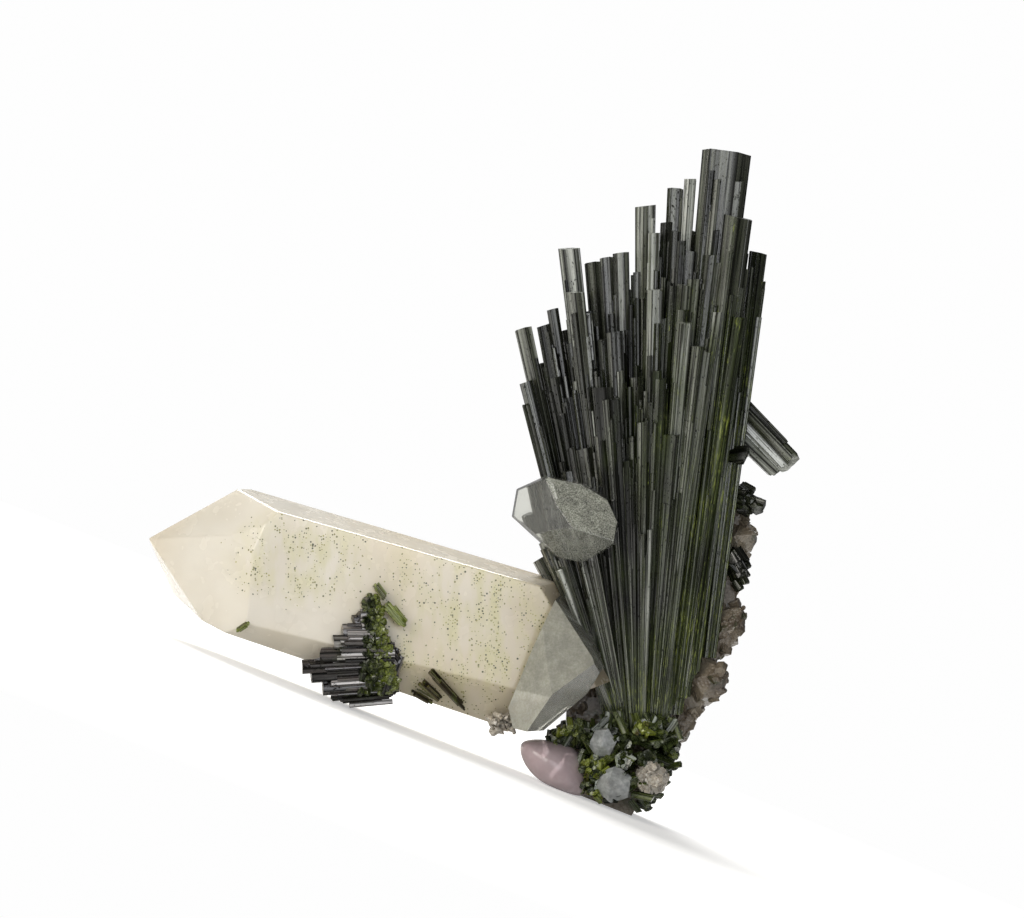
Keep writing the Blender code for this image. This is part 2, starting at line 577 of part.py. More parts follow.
def settle():
    # Lean the upright specimen over to its resting place, in metres
    lean = Matrix.Rotation(-LEAN, 4, "Y")
    origin = BOX_MIDDLE + Vector((0.0, 0.0, (lean @ REST_RIGHT).z))
    place = Matrix.Scale(MM, 4) @ Matrix.Translation(-origin) @ lean
    for obj in parts.objects:
        obj.data.transform(place)


# Assembly

clear_scene()
parts = make_collection("epidote_on_quartz")
cutters = make_collection("cutters")

milky = make_material("milky_quartz", (0.74, 0.69, 0.58), 0.25)
clear = make_material("clear_quartz", (0.45, 0.47, 0.40), 0.08, 0.5)
lilac = make_material("lilac_quartz", (0.52, 0.42, 0.44), 0.12, 0.7)
grey = make_material("matrix_quartz", (0.30, 0.26, 0.20), 0.35)
dark = make_material("dark_epidote", (0.035, 0.04, 0.03), 0.3)
green = make_material("green_epidote", (0.16, 0.19, 0.05), 0.35)

add_object("large_quartz", crystal(LARGE_QUARTZ_MIDDLE, LARGE_QUARTZ_FACES), parts, milky)
side_quartz = add_object("side_quartz", crystal(SIDE_QUARTZ_MIDDLE, SIDE_QUARTZ_FACES), parts, clear)
make_room(side_quartz, [large_quartz_room()])
add_object("clear_quartz", crystal(CLEAR_QUARTZ_MIDDLE, CLEAR_QUARTZ_FACES), parts, clear)
lilac_quartz = add_object("lilac_quartz", lump(LILAC_QUARTZ_CORNERS), parts, lilac)
make_room(lilac_quartz, [below_surface()])
for seed, (name, sizes) in enumerate(BASE_QUARTZ.items()):
    add_object(name, quartz_point(*sizes, seed), parts, grey)
add_matrix_quartz(grey)
add_epidote_spray(dark)
add_epidote_cluster(dark)
add_sprigs(green)
settle()
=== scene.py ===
# Epidote on quartz: a fan of dark striated epidote, a milky quartz crystal beside it, and small
# clear, lilac and grey quartz crystals round its foot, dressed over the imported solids.
import json
import math
import random

import bmesh
import bpy
from mathutils import Matrix, Vector

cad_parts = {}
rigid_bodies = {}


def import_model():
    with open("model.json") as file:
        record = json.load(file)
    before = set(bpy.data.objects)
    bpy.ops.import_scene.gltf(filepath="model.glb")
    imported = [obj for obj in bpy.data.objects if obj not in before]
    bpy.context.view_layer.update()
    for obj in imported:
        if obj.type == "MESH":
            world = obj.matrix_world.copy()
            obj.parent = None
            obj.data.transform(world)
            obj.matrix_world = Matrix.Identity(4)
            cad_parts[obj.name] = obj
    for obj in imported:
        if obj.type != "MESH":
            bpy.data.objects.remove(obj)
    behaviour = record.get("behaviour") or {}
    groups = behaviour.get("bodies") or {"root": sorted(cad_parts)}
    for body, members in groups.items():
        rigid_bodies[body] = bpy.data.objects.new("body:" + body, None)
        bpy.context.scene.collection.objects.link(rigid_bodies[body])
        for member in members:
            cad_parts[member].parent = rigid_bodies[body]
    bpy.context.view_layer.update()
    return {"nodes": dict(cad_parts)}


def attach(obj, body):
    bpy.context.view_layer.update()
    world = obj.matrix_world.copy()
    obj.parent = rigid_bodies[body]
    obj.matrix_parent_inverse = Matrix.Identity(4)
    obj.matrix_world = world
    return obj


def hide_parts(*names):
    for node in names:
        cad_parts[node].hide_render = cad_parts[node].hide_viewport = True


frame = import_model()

# Everything is laid out in mm as the specimen stands upright: x right, y away, z up.
# toRest leans it over to where it rests, in metres.
mm = 0.001
upright = {
    "restLeft": Vector((-47.3, 0.0, 18.6)),
    "restRight": Vector((-0.8, 0.0, 0.2)),
    "boxMiddle": Vector((-39.75, 1.05, 0.0)),
}
lean = math.atan2(upright["restLeft"].z - upright["restRight"].z,
                  upright["restRight"].x - upright["restLeft"].x)
leanTurn = Matrix.Rotation(-lean, 4, "Y")
floorPoint = upright["boxMiddle"] + Vector((0.0, 0.0, (leanTurn @ upright["restRight"]).z))
toRest = Matrix.Scale(mm, 4) @ Matrix.Translation(-floorPoint) @ leanTurn
toUpright = toRest.inverted()
# the same turn for a Mapping node: Object coordinates in, upright mm out
uprightMapping = {"Location": leanTurn.inverted() @ floorPoint, "Rotation": (0.0, lean, 0.0),
                  "Scale": (1000.0, 1000.0, 1000.0)}


def linearColour(hexCode):
    # sRGB hex to linear RGBA
    parts = [int(hexCode[i:i + 2], 16) / 255 for i in (1, 3, 5)]
    return (*[c / 12.92 if c <= 0.04045 else ((c + 0.055) / 1.055) ** 2.4 for c in parts], 1.0)


def addNode(tree, kind, values=None):
    # values by socket name or number, or else by the node's own property; a node, or a node and
    # the name of its output, is linked
    isShader = not kind.startswith(("Geometry", "Function", "NodeGroup"))
    node = tree.nodes.new("ShaderNode" + kind if isShader else kind)
    for name, value in (values or {}).items():
        source, *output = value if isinstance(value, tuple) else (value,)
        if isinstance(source, bpy.types.Node):
            tree.links.new(source.outputs[output[0] if output else 0], node.inputs[name])
        elif name == "ramp":
            stops = node.color_ramp.elements
            while len(stops) < len(value):
                stops.new(0.5)
            for stop, (place, colour) in zip(stops, value):
                stop.position = place
                stop.color = linearColour(colour)
        elif isinstance(name, int) or name in node.inputs.keys():
            node.inputs[name].default_value = value
        else:
            setattr(node, name, value)
    return node


def newMaterial(name):
    material = bpy.data.materials.new(name)
    material.use_nodes = True
    material.node_tree.nodes.clear()
    return material, material.node_tree


def uprightPlace(tree):
    # Object coordinates as upright mm
    coords = addNode(tree, "TexCoord")
    return addNode(tree, "Mapping", {**uprightMapping, "Vector": (coords, "Object")})


def finishMaterial(tree, shader, volume=None):
    out = addNode(tree, "OutputMaterial", {"Surface": shader})
    if volume:
        tree.links.new(volume.outputs[0], out.inputs["Volume"])


# Stage, lights and camera

stageLook = {"floor": "#f6f5f2", "glow": 0.99, "nearGlow": 0.42, "aside": 0.22, "world": 0.10, "size": 2.4,
             "wall": 1.7}
cameraLook = {"distance": 900.0, "focus": -4.0, "middle": (-18.08, 56.96), "frameWidth": 163.84}
softboxes = {
    # name: place and target in upright mm, width and height in m, power, colour
    "keyLeft": ((-600.0, -640.0, 330.0), (-10.0, 0.0, 50.0), (0.62, 0.95), 8.3, "#fffaf2"),
    "fillFront": ((110.0, -1060.0, 170.0), (-10.0, 0.0, 50.0), (0.9, 0.8), 4.3, "#f8faff"),
    "topBack": ((-60.0, 380.0, 700.0), (-10.0, 0.0, 50.0), (0.7, 0.4), 8.5, "#ffffff"),
}


def makeStage():
    # matt white paint near the specimen, where its shadow falls; further out it only glows
    material, tree = newMaterial("paintedBackdrop")
    coords = addNode(tree, "TexCoord")
    speckle = addNode(tree, "TexNoise", {"Scale": 60.0, "Detail": 1.0, "Vector": (coords, "Object")})
    tint = addNode(tree, "Mix", {
        "data_type": "RGBA", 6: linearColour(stageLook["floor"]), 7: linearColour("#f2f1ee"),
        0: (speckle, 0)})
    # the glow is for the eye; the dark faces of the prisms don't mirror it
    sight = addNode(tree, "LightPath")
    seen = addNode(tree, "Math", {
        "operation": "MAXIMUM", 0: (sight, "Is Camera Ray"), 1: (sight, "Is Transmission Ray")})
    seenShare = addNode(tree, "MapRange", {"To Min": stageLook["aside"], "Value": seen})
    nearGlow = addNode(tree, "Math", {"operation": "MULTIPLY", 1: stageLook["nearGlow"], 0: seenShare})
    farGlow = addNode(tree, "Math", {"operation": "MULTIPLY", 1: stageLook["glow"], 0: seenShare})
    near = addNode(tree, "BsdfPrincipled", {
        "Roughness": 0.9, "Emission Color": (1.0, 1.0, 1.0, 1.0), "Base Color": (tint, 2),
        "Emission Strength": nearGlow})
    farLight = addNode(tree, "Emission", {"Strength": farGlow})
    reach = addNode(tree, "VectorMath", {"operation": "LENGTH", 0: (coords, "Object")})
    share = addNode(tree, "MapRange", {"From Min": 0.10, "From Max": 0.26, "Value": (reach, "Value")})
    shader = addNode(tree, "MixShader", {0: share, 1: near, 2: farLight})
    finishMaterial(tree, shader)
    material.cycles.emission_sampling = "NONE"
    half, wall, bend, steps = stageLook["size"] / 2, stageLook["wall"], 0.35, 16
    profile = [(-half, 0.0), (half - bend, 0.0)]
    profile += [(half - bend + bend * math.sin(a), bend - bend * math.cos(a))
                for a in (math.pi / 2 * s / steps for s in range(1, steps + 1))]
    profile.append((half, wall))
    bm = bmesh.new()
    rows = [[bm.verts.new((x, y, z)) for y, z in profile] for x in (-half, half)]
    for left, right, nextRight, nextLeft in zip(rows[0], rows[1], rows[1][1:], rows[0][1:]):
        bm.faces.new((left, right, nextRight, nextLeft)).smooth = True
    mesh = bpy.data.meshes.new("backdrop")
    bm.to_mesh(mesh)
    bm.free()
    mesh.materials.append(material)
    backdrop = bpy.data.objects.new("backdrop", mesh)
    bpy.context.scene.collection.objects.link(backdrop)


def makeLights():
    scene = bpy.context.scene
    world = bpy.data.worlds.new("studio")
    world.use_nodes = True
    world.node_tree.nodes.clear()
    sight = addNode(world.node_tree, "LightPath")
    strength = addNode(world.node_tree, "MapRange", {
        "To Min": stageLook["world"], "Value": (sight, "Is Camera Ray")})
    back = addNode(world.node_tree, "Background", {"Color": (1.0, 1.0, 1.0, 1.0), "Strength": strength})
    addNode(world.node_tree, "OutputWorld", {"Surface": back})
    scene.world = world
    for name, (place, target, (width, height), power, colour) in softboxes.items():
        light = bpy.data.lights.new(name, "AREA")
        light.shape = "RECTANGLE"
        light.size, light.size_y = width, height
        light.energy = power
        light.color = linearColour(colour)[:3]
        lamp = bpy.data.objects.new(name, light)
        scene.collection.objects.link(lamp)
        lamp.location = toRest @ Vector(place)
        aim = toRest @ Vector(target) - lamp.location
        lamp.rotation_euler = aim.to_track_quat("-Z", "Y").to_euler()
    scene.view_settings.view_transform = "Standard"
    # light that has been through a few crystals is spent
    scene.cycles.max_bounces = 7
    scene.cycles.diffuse_bounces = 2
    scene.cycles.glossy_bounces = 3
    scene.cycles.transmission_bounces = 7
    scene.cycles.caustics_reflective = scene.cycles.caustics_refractive = False


def makeCamera():
    # looks along +y, level with the specimen's middle; rolled, because the specimen leans
    camera = bpy.data.cameras.new("camera")
    camera.sensor_width = 36.0
    camera.lens = 36.0 * (cameraLook["distance"] + cameraLook["focus"]) / cameraLook["frameWidth"]
    camera.clip_end = 10.0
    seat = bpy.data.objects.new("camera", camera)
    bpy.context.scene.collection.objects.link(seat)
    across, height = cameraLook["middle"]
    place = toRest @ Vector((across, -cameraLook["distance"], height))
    side, up = leanTurn @ Vector((1.0, 0.0, 0.0)), leanTurn @ Vector((0.0, 0.0, 1.0))
    turn = Matrix((side, up, Vector((0.0, -1.0, 0.0)))).transposed()
    seat.matrix_world = Matrix.Translation(place) @ turn.to_4x4()
    bpy.context.scene.camera = seat


makeStage()
makeLights()
makeCamera()
print("stage, lights and camera are up")


# Materials

def makeEpidote(name, look):
    # iron-rich epidote, grown as long prisms: near black with a green cast, glassy faces that
    # are broken into fine bright and dark lines along their length
    material, tree = newMaterial(name)
    place = uprightPlace(tree)
    grain = addNode(tree, "Attribute", {"attribute_name": "grain"})
    tone = addNode(tree, "Attribute", {"attribute_name": "tone"})
    # lines 0.3 mm apart, flat bands 0.9 mm wide, pits and flecks 0.3 mm wide, all drawn out along
    # the prism, and patches 3 by 9 mm
    noises = []
    for source, scale, detail, roughness in (
            (grain, (3.6, 3.6, 0.06), 2.0, 0.6), (grain, (1.1, 1.1, 0.02), 2.0, 0.5),
            (grain, (3.2, 3.2, 1.6), 2.0, 0.7), (grain, (2.6, 2.6, 0.5), 3.0, 0.7),
            (place, (0.34, 0.34, 0.11), 3.0, 0.5)):
        stretched = addNode(tree, "Mapping", {"Scale": scale, "Vector": (source, "Vector")})
        noises.append(addNode(tree, "TexNoise", {
            "Scale": 1.0, "Detail": detail, "Roughness": roughness, "Vector": stretched}))
    fineLines, bands, pits, flecks, patches = noises
    pitMask = addNode(tree, "MapRange", {"From Min": 0.60, "From Max": 0.68, "Value": pits})
    darkLines = addNode(tree, "MapRange", {
        "From Min": 0.46, "From Max": 0.36, "To Max": 0.8, "Value": fineLines})
    # painted shade: the grooves between prisms are darkened in the colour, as next to no light comes back
    # from them
    seam = addNode(tree, "Attribute", {"attribute_name": "seam"})
    grooveShade = addNode(tree, "MapRange", {
        "From Min": 0.45, "From Max": 0.9, "To Max": look["grooveShade"], "Value": (seam, "Fac")})
    broken = addNode(tree, "Math", {"operation": "MAXIMUM", 0: pitMask, 1: darkLines})
    darkMarksAndShade = addNode(tree, "Math", {"operation": "MAXIMUM", 0: broken, 1: grooveShade})
    bandShare = addNode(tree, "MapRange", {
        "From Min": 0.36, "From Max": 0.66, "To Min": 0.12, "To Max": 0.62, "Value": bands})
    mixed = addNode(tree, "Math", {"operation": "MULTIPLY_ADD", 1: 0.76, 0: (tone, "Fac"), 2: bandShare})
    body = addNode(tree, "ValToRGB", {
        "ramp": look["body"], "Fac": addNode(tree, "Math", {"operation": "MULTIPLY", 1: 0.7, 0: mixed})})
    # the green patches lie mostly low and to the right
    parts = addNode(tree, "SeparateXYZ", {"Vector": place})
    rightness = addNode(tree, "MapRange", {
        "From Min": -6.0, "From Max": 18.0, "To Min": 0.0, "To Max": look["greenRight"],
        "Value": (parts, "X")})
    highness = addNode(tree, "MapRange", {"From Min": 100.0, "From Max": 60.0, "Value": (parts, "Z")})
    lowness = addNode(tree, "MapRange", {
        "From Min": 34.0, "From Max": 12.0, "To Min": 0.0, "To Max": look["greenLow"],
        "Value": (parts, "Z")})
    rightPart = addNode(tree, "Math", {"operation": "MULTIPLY", 0: rightness, 1: highness})
    where = addNode(tree, "Math", {"operation": "ADD", 0: rightPart, 1: lowness})
    patchSum = addNode(tree, "Math", {"operation": "ADD", 0: patches, 1: where})
    patchMask = addNode(tree, "MapRange", {"From Min": 0.54, "From Max": 0.94, "Value": patchSum})
    fleckSum = addNode(tree, "Math", {"operation": "MULTIPLY_ADD", 1: 0.22, 0: patchMask, 2: flecks})
    fleckMask = addNode(tree, "MapRange", {
        "From Min": 0.73, "From Max": 0.87, "To Max": 0.85, "Value": fleckSum})
    greenShare = addNode(tree, "Math", {"operation": "MULTIPLY", 1: 0.75, 0: patchMask})
    # the last mix is near black: over the dark lines and pits, and as painted shade in the grooves between
    # prisms
    for share, colour in ((greenShare, look["green"]), (fleckMask, look["fleck"]), (darkMarksAndShade, "#0b0c08")):
        body = (addNode(tree, "Mix", {"data_type": "RGBA", 0: share, 6: body, 7: linearColour(colour)}), 2)
    rough = addNode(tree, "MapRange", {
        "From Min": 0.3, "From Max": 0.75, "To Min": look["rough"][0], "To Max": look["rough"][1],
        "Value": fineLines})
    roughPits = addNode(tree, "Math", {
        "operation": "MULTIPLY_ADD", 1: 0.4, "use_clamp": True, 0: pitMask, 2: rough})
    height = addNode(tree, "Math", {"operation": "MULTIPLY_ADD", 1: 0.8, 0: bands, 2: fineLines})
    heightPits = addNode(tree, "Math", {"operation": "MULTIPLY_ADD", 1: -0.5, 0: pitMask, 2: height})
    bump = addNode(tree, "Bump", {"Strength": look["bump"], "Distance": 0.0001, "Height": heightPits})
    # broken lines, pits and the darkest prisms mirror less
    clean = addNode(tree, "Math", {"operation": "MULTIPLY_ADD", 1: -0.9, 2: 1.0, 0: darkMarksAndShade})
    polish = addNode(tree, "MapRange", {
        "From Min": 0.15, "From Max": 1.0, "To Min": 0.07, "To Max": 1.0, "Value": mixed})
    mirror = addNode(tree, "Math", {"operation": "MULTIPLY", 0: clean, 1: polish})
    shader = addNode(tree, "BsdfPrincipled", {
        "IOR": 1.74, "Base Color": body, "Roughness": roughPits, "Specular IOR Level": mirror,
        "Normal": bump})
    finishMaterial(tree, shader)
    return material


# the pale grey end of the black epidote's body ramps, here and in the bundle's, is partly painted sheen: the
# grey that the glassy faces mirror is put into the colour of the palest prisms
epidoteLook = {"body": [(0.25, "#10110d"), (0.45, "#202219"), (0.62, "#383a2d"), (0.75, "#5a5d4d"),
                        (1.0, "#bcc0b6")],
               "green": "#424d27", "fleck": "#8b9540", "greenRight": 0.44, "greenLow": 0.5,
               "rough": (0.14, 0.36), "bump": 0.3, "grooveShade": 0.95}
bundleLook = {**epidoteLook,
              "body": [(0.25, "#100e0e"), (0.4, "#241e1d"), (0.58, "#463e3b"), (0.75, "#8a8480"),
                       (1.0, "#d4d1cf")],
              "greenRight": 0.0, "greenLow": 0.1, "rough": (0.07, 0.2)}
bladeLook = {**epidoteLook, "greenRight": 0.14, "greenLow": 0.0}
crustLook = {"body": [(0.2, "#12160b"), (0.45, "#28301b"), (0.65, "#434e26"), (0.85, "#6e7838")],
             "green": "#46541f", "fleck": "#9aa23a", "greenRight": 0.1, "greenLow": 0.12,
             "rough": (0.14, 0.40), "bump": 0.4, "grooveShade": 0.4}
mossLook = {**crustLook, "fleck": "#8e9443",
            "body": [(0.2, "#15190c"), (0.42, "#2e3618"), (0.6, "#515b24"), (0.8, "#7f8a36")]}
# brown at tone 0, yellow-green at tone 1
sprigLook = {"body": [(0.25, "#2c2412"), (0.42, "#544a24"), (0.58, "#6b7826"), (0.8, "#98a23e")],
             "green": "#76882c", "fleck": "#b4b850", "greenRight": 0.1, "greenLow": 0.0,
             "rough": (0.15, 0.4), "bump": 0.35, "grooveShade": 0.5}
blackEpidote = makeEpidote("blackEpidote", epidoteLook)
bundleEpidote = makeEpidote("purpleBlackEpidote", bundleLook)
bladeEpidote = makeEpidote("greyEpidote", bladeLook)
crustEpidote = makeEpidote("greenEpidoteCrust", crustLook)
mossEpidote = makeEpidote("mossyEpidote", mossLook)
sprigEpidote = makeEpidote("pistachioEpidote", sprigLook)


def makeMilkyQuartz():
    # quartz clouded by fluid inclusions: cream, soft inside, with a glassy skin, and dusted
    # with tiny dark green epidote grains
    material, tree = newMaterial("milkyQuartz")
    place = uprightPlace(tree)
    parts = addNode(tree, "SeparateXYZ", {"Vector": place})
    across = addNode(tree, "MapRange", {"From Min": -77.0, "From Max": -8.0, "Value": (parts, "X")})
    body = addNode(tree, "ValToRGB", {
        "ramp": [(0.0, "#bbb09c"), (0.12, "#c0b8a7"), (0.4, "#d5cdbc"), (0.62, "#d5c9b0"),
                 (0.85, "#c5b9a1"), (1.0, "#b9ab92")], "Fac": across})
    veils = addNode(tree, "TexNoise", {"Scale": 0.07, "Detail": 2.0, "Vector": place})
    veilShare = addNode(tree, "MapRange", {
        "From Min": 0.4, "From Max": 0.7, "To Max": 0.35, "Value": veils})
    # painted shade: the lower side is made darker and warmer
    lowShadeShare = addNode(tree, "MapRange", {
        "From Min": 33.0, "From Max": 15.0, "To Max": 0.35, "Value": (parts, "Z")})
    # grains 0.2 mm wide in two fields of the front face, thicker in upright bands
    facing = addNode(tree, "SeparateXYZ", {"Vector": (addNode(tree, "NewGeometry"), "Normal")})
    front = addNode(tree, "MapRange", {"From Min": -0.3, "From Max": -0.6, "Value": (facing, "Y")})
    fields = []
    for middle, reach in (((-51.0, 41.5), (12.0, 8.0)), ((-26.0, 31.0), (17.0, 15.0))):
        shares = (1.0 / reach[0], 0.0, 1.0 / reach[1])
        own = addNode(tree, "Mapping", {
            "Location": (-middle[0] * shares[0], 0.0, -middle[1] * shares[2]), "Scale": shares,
            "Vector": place})
        off = addNode(tree, "VectorMath", {"operation": "LENGTH", 0: own})
        fields.append(addNode(tree, "MapRange", {
            "From Min": 1.15, "From Max": 0.45, "Value": (off, "Value")}))
    field = addNode(tree, "Math", {"operation": "MAXIMUM", 0: fields[0], 1: fields[1]})
    here = addNode(tree, "Math", {"operation": "MULTIPLY", 0: field, 1: front})
    bandPlace = addNode(tree, "Mapping", {
        "Scale": (0.5, 0.2, 0.16), "Rotation": (0.0, 0.28, 0.0), "Vector": place})
    bandNoise = addNode(tree, "TexNoise", {"Scale": 1.0, "Detail": 3.0, "Vector": bandPlace})
    bandShare = addNode(tree, "MapRange", {
        "From Min": 0.38, "From Max": 0.64, "To Max": 0.7, "Value": bandNoise})
    density = addNode(tree, "Math", {"operation": "MULTIPLY", 0: bandShare, 1: here})
    cells = addNode(tree, "TexVoronoi", {"Scale": 2.9, "Vector": place})
    pick = addNode(tree, "SeparateXYZ", {"Vector": (cells, "Color")})
    chosen = addNode(tree, "Math", {"operation": "LESS_THAN", 0: (pick, "X"), 1: density})
    dotSize = addNode(tree, "MapRange", {"To Min": 0.16, "To Max": 0.5, "Value": (pick, "Y")})
    dot = addNode(tree, "Math", {"operation": "LESS_THAN", 0: (cells, "Distance"), 1: dotSize})
    grains = addNode(tree, "Math", {"operation": "MULTIPLY", 0: chosen, 1: dot})
    grainColour = addNode(tree, "ValToRGB", {
        "ramp": [(0.2, "#3a3c22"), (0.6, "#77743f"), (1.0, "#a29c62")], "Fac": (pick, "Z")})
    hazeHere = addNode(tree, "Math", {"operation": "MULTIPLY", 1: 0.9, 0: density})
    for share, colour in ((veilShare, "#e9e6dd"), (lowShadeShare, "#c6b89e"), (hazeHere, "#c2bd86")):
        body = (addNode(tree, "Mix", {"data_type": "RGBA", 0: share, 6: body, 7: linearColour(colour)}), 2)
    dusted = addNode(tree, "Mix", {"data_type": "RGBA", 0: grains, 6: body, 7: grainColour})
    growth = addNode(tree, "TexNoise", {"Scale": 0.35, "Detail": 2.0, "Vector": place})
    smear = addNode(tree, "MapRange", {
        "From Min": 0.25, "From Max": 0.75, "To Min": 0.22, "To Max": 0.30, "Value": growth})
    bump = addNode(tree, "Bump", {"Strength": 0.08, "Distance": 0.0001, "Height": grains})
    shader = addNode(tree, "BsdfPrincipled", {
        "subsurface_method": "BURLEY", "IOR": 1.544, "Subsurface Weight": 0.55, "Subsurface Scale": 0.005,
        "Subsurface Radius": (1.0, 0.92, 0.8), "Coat Weight": 0.5, "Coat Roughness": 0.06,
        "Base Color": (dusted, 2), "Roughness": smear, "Normal": bump})
    finishMaterial(tree, shader)
    return material


milkyQuartz = makeMilkyQuartz()


def makeGlassyQuartz(name, look):
    # clear quartz: bright hard reflections, a faint tint through its depth, and a matt
    # salt-and-pepper dust of inclusions where the dust attribute says
    material, tree = newMaterial(name)
    place = uprightPlace(tree)
    dust = addNode(tree, "Attribute", {"attribute_name": look.get("dustFrom", "dust")})
    cloud = addNode(tree, "TexNoise", {"Scale": 0.45, "Detail": 3.0, "Vector": place})
    pepper = addNode(tree, "TexNoise", {
        "Scale": look["grain"], "Detail": 2.0, "Roughness": 0.8, "Vector": place})
    pepperColour = addNode(tree, "ValToRGB", {"ramp": look["pepper"], "Fac": pepper})
    cloudShare = addNode(tree, "MapRange", {
        "From Min": 0.35, "From Max": 0.62, "To Min": look["veil"], "Value": cloud})
    share = addNode(tree, "Math", {
        "operation": "MULTIPLY", "use_clamp": True, 0: (dust, "Fac"), 1: cloudShare})
    bump = addNode(tree, "Bump", {"Strength": 0.12, "Distance": 0.00005, "Height": pepper})
    rough = addNode(tree, "MapRange", {
        "To Min": look["rough"][0], "To Max": look["rough"][1], "Value": cloud})
    clear = addNode(tree, "BsdfPrincipled", {
        "IOR": 1.544, "Transmission Weight": look["clear"], "Base Color": linearColour(look["tint"]),
        "Roughness": rough})
    matt = addNode(tree, "BsdfPrincipled", {
        "IOR": 1.544, "Roughness": 0.4, "Coat Weight": 0.5, "Coat Roughness": look["rough"][0] * 2,
        "Base Color": pepperColour, "Normal": bump})
    shader = addNode(tree, "MixShader", {0: share, 1: clear, 2: matt})
    volume = addNode(tree, "VolumeAbsorption", {
        "Color": linearColour(look["depth"]), "Density": look["density"]})
    finishMaterial(tree, shader, volume)
    return material


clearQuartz = makeGlassyQuartz("clearQuartz", {
    "pepper": [(0.4, "#5e6056"), (0.5, "#949688"), (0.6, "#c2c4b8")], "rough": (0.02, 0.12), "clear": 0.95,
    "tint": "#f4f4ee", "depth": "#c8cabc", "density": 18.0, "grain": 5.0, "veil": 0.6})
frostedQuartz = makeGlassyQuartz("frostedQuartz", {
    "pepper": [(0.36, "#b0ae9a"), (0.5, "#bebcaa"), (0.66, "#cdcbbb")], "rough": (0.04, 0.2), "clear": 0.85,
    "tint": "#f2f3ea", "depth": "#ccd0bc", "density": 11.0, "grain": 2.4, "veil": 0.62})
lilacQuartz = makeGlassyQuartz("lilacQuartz", {
    "pepper": [(0.3, "#c9acb0"), (0.5, "#d8c0c3"), (0.7, "#eee0e2")], "rough": (0.02, 0.07), "clear": 0.55,
    "tint": "#efd9dc", "depth": "#d9c2c7", "density": 18.0, "grain": 0.35, "veil": 0.5})
paleQuartz = makeGlassyQuartz("paleQuartz", {
    "pepper": [(0.36, "#a6aaa9"), (0.5, "#c0c4c3"), (0.66, "#dcdedd")], "rough": (0.04, 0.2), "clear": 0.8,
    "tint": "#f2f2ee", "depth": "#ccceca", "density": 15.0, "grain": 0.8, "veil": 0.5})
sugaryQuartz = makeGlassyQuartz("sugaryQuartz", {
    "pepper": [(0.34, "#a29480"), (0.5, "#cec3b0"), (0.66, "#f0ebe0")], "rough": (0.06, 0.25), "clear": 0.7,
    "tint": "#f2ede2", "depth": "#ccc0aa", "density": 20.0, "grain": 2.2, "veil": 0.5, "dustFrom": "tone"})


def makeSmokyQuartz():
    # broken grey-brown quartz: dull conchoidal breaks with lighter sugary grains
    material, tree = newMaterial("smokyQuartz")
    place = uprightPlace(tree)
    cloud = addNode(tree, "TexNoise", {"Scale": 0.22, "Detail": 5.0, "Distortion": 0.4, "Vector": place})
    body = addNode(tree, "ValToRGB", {
        "ramp": [(0.25, "#54483b"), (0.45, "#7b6e5c"), (0.6, "#9a8f7c"), (0.8, "#beb5a2")], "Fac": cloud})
    sugar = addNode(tree, "TexVoronoi", {"Scale": 2.2, "Vector": place})
    sugarShade = addNode(tree, "MapRange", {
        "From Max": 0.7, "To Min": 1.0, "To Max": 0.6, "Value": (sugar, "Distance")})
    shaded = addNode(tree, "Mix", {
        "data_type": "RGBA", "blend_type": "MULTIPLY", 0: 0.35, 6: body, 7: (sugarShade, 0)})
    mossNoise = addNode(tree, "TexNoise", {"Scale": 0.4, "Detail": 4.0, "Vector": place})
    moss = addNode(tree, "MapRange", {
        "From Min": 0.58, "From Max": 0.68, "To Max": 0.8, "Value": mossNoise})
    mossy = addNode(tree, "Mix", {"data_type": "RGBA", 7: linearColour("#3d4324"), 0: moss, 6: (shaded, 2)})
    bump = addNode(tree, "Bump", {"Strength": 0.5, "Distance": 0.0003, "Height": (sugar, "Distance")})
    rough = addNode(tree, "MapRange", {"To Min": 0.2, "To Max": 0.5, "Value": cloud})
    shader = addNode(tree, "BsdfPrincipled", {
        "IOR": 1.544, "Transmission Weight": 0.25, "Coat Weight": 0.3, "Base Color": (mossy, 2),
        "Roughness": rough, "Normal": bump})
    finishMaterial(tree, shader)
    return material


smokyQuartz = makeSmokyQuartz()
print("materials are mixed")


# Crystals on points: one tree stands a template crystal on each point, along its axis

def makeTemplate(name, columns):
    # columns: closed prisms cut to shape, joined in one mesh; 12 widths tall, kept as 0 or 1
    # along the axis, with the drop below the tip in widths
    bm = bmesh.new()
    swap = bpy.data.meshes.new("swap")
    for column in columns:
        column.to_mesh(swap)
        column.free()
        bm.from_mesh(swap)
    bpy.data.meshes.remove(swap)
    local = bm.verts.layers.float_vector.new("local")
    drop = bm.verts.layers.float.new("drop")
    for vert in bm.verts:
        atTop = 1.0 if vert.co.z > 6.0 else 0.0
        vert[drop] = (12.0 - vert.co.z) * atTop
        vert[local] = (vert.co.x, vert.co.y, atTop)
        vert.co.z = atTop
    mesh = bpy.data.meshes.new(name)
    bm.to_mesh(mesh)
    bm.free()
    return bpy.data.objects.new(name, mesh)


def cutTop(column, point, normal):
    everything = column.verts[:] + column.edges[:] + column.faces[:]
    cut = bmesh.ops.bisect_plane(column, geom=everything, plane_co=point, plane_no=normal, clear_outer=True)
    rim = [item for item in cut["geom_cut"] if isinstance(item, bmesh.types.BMEdge)]
    if rim:
        bmesh.ops.contextual_create(column, geom=rim)


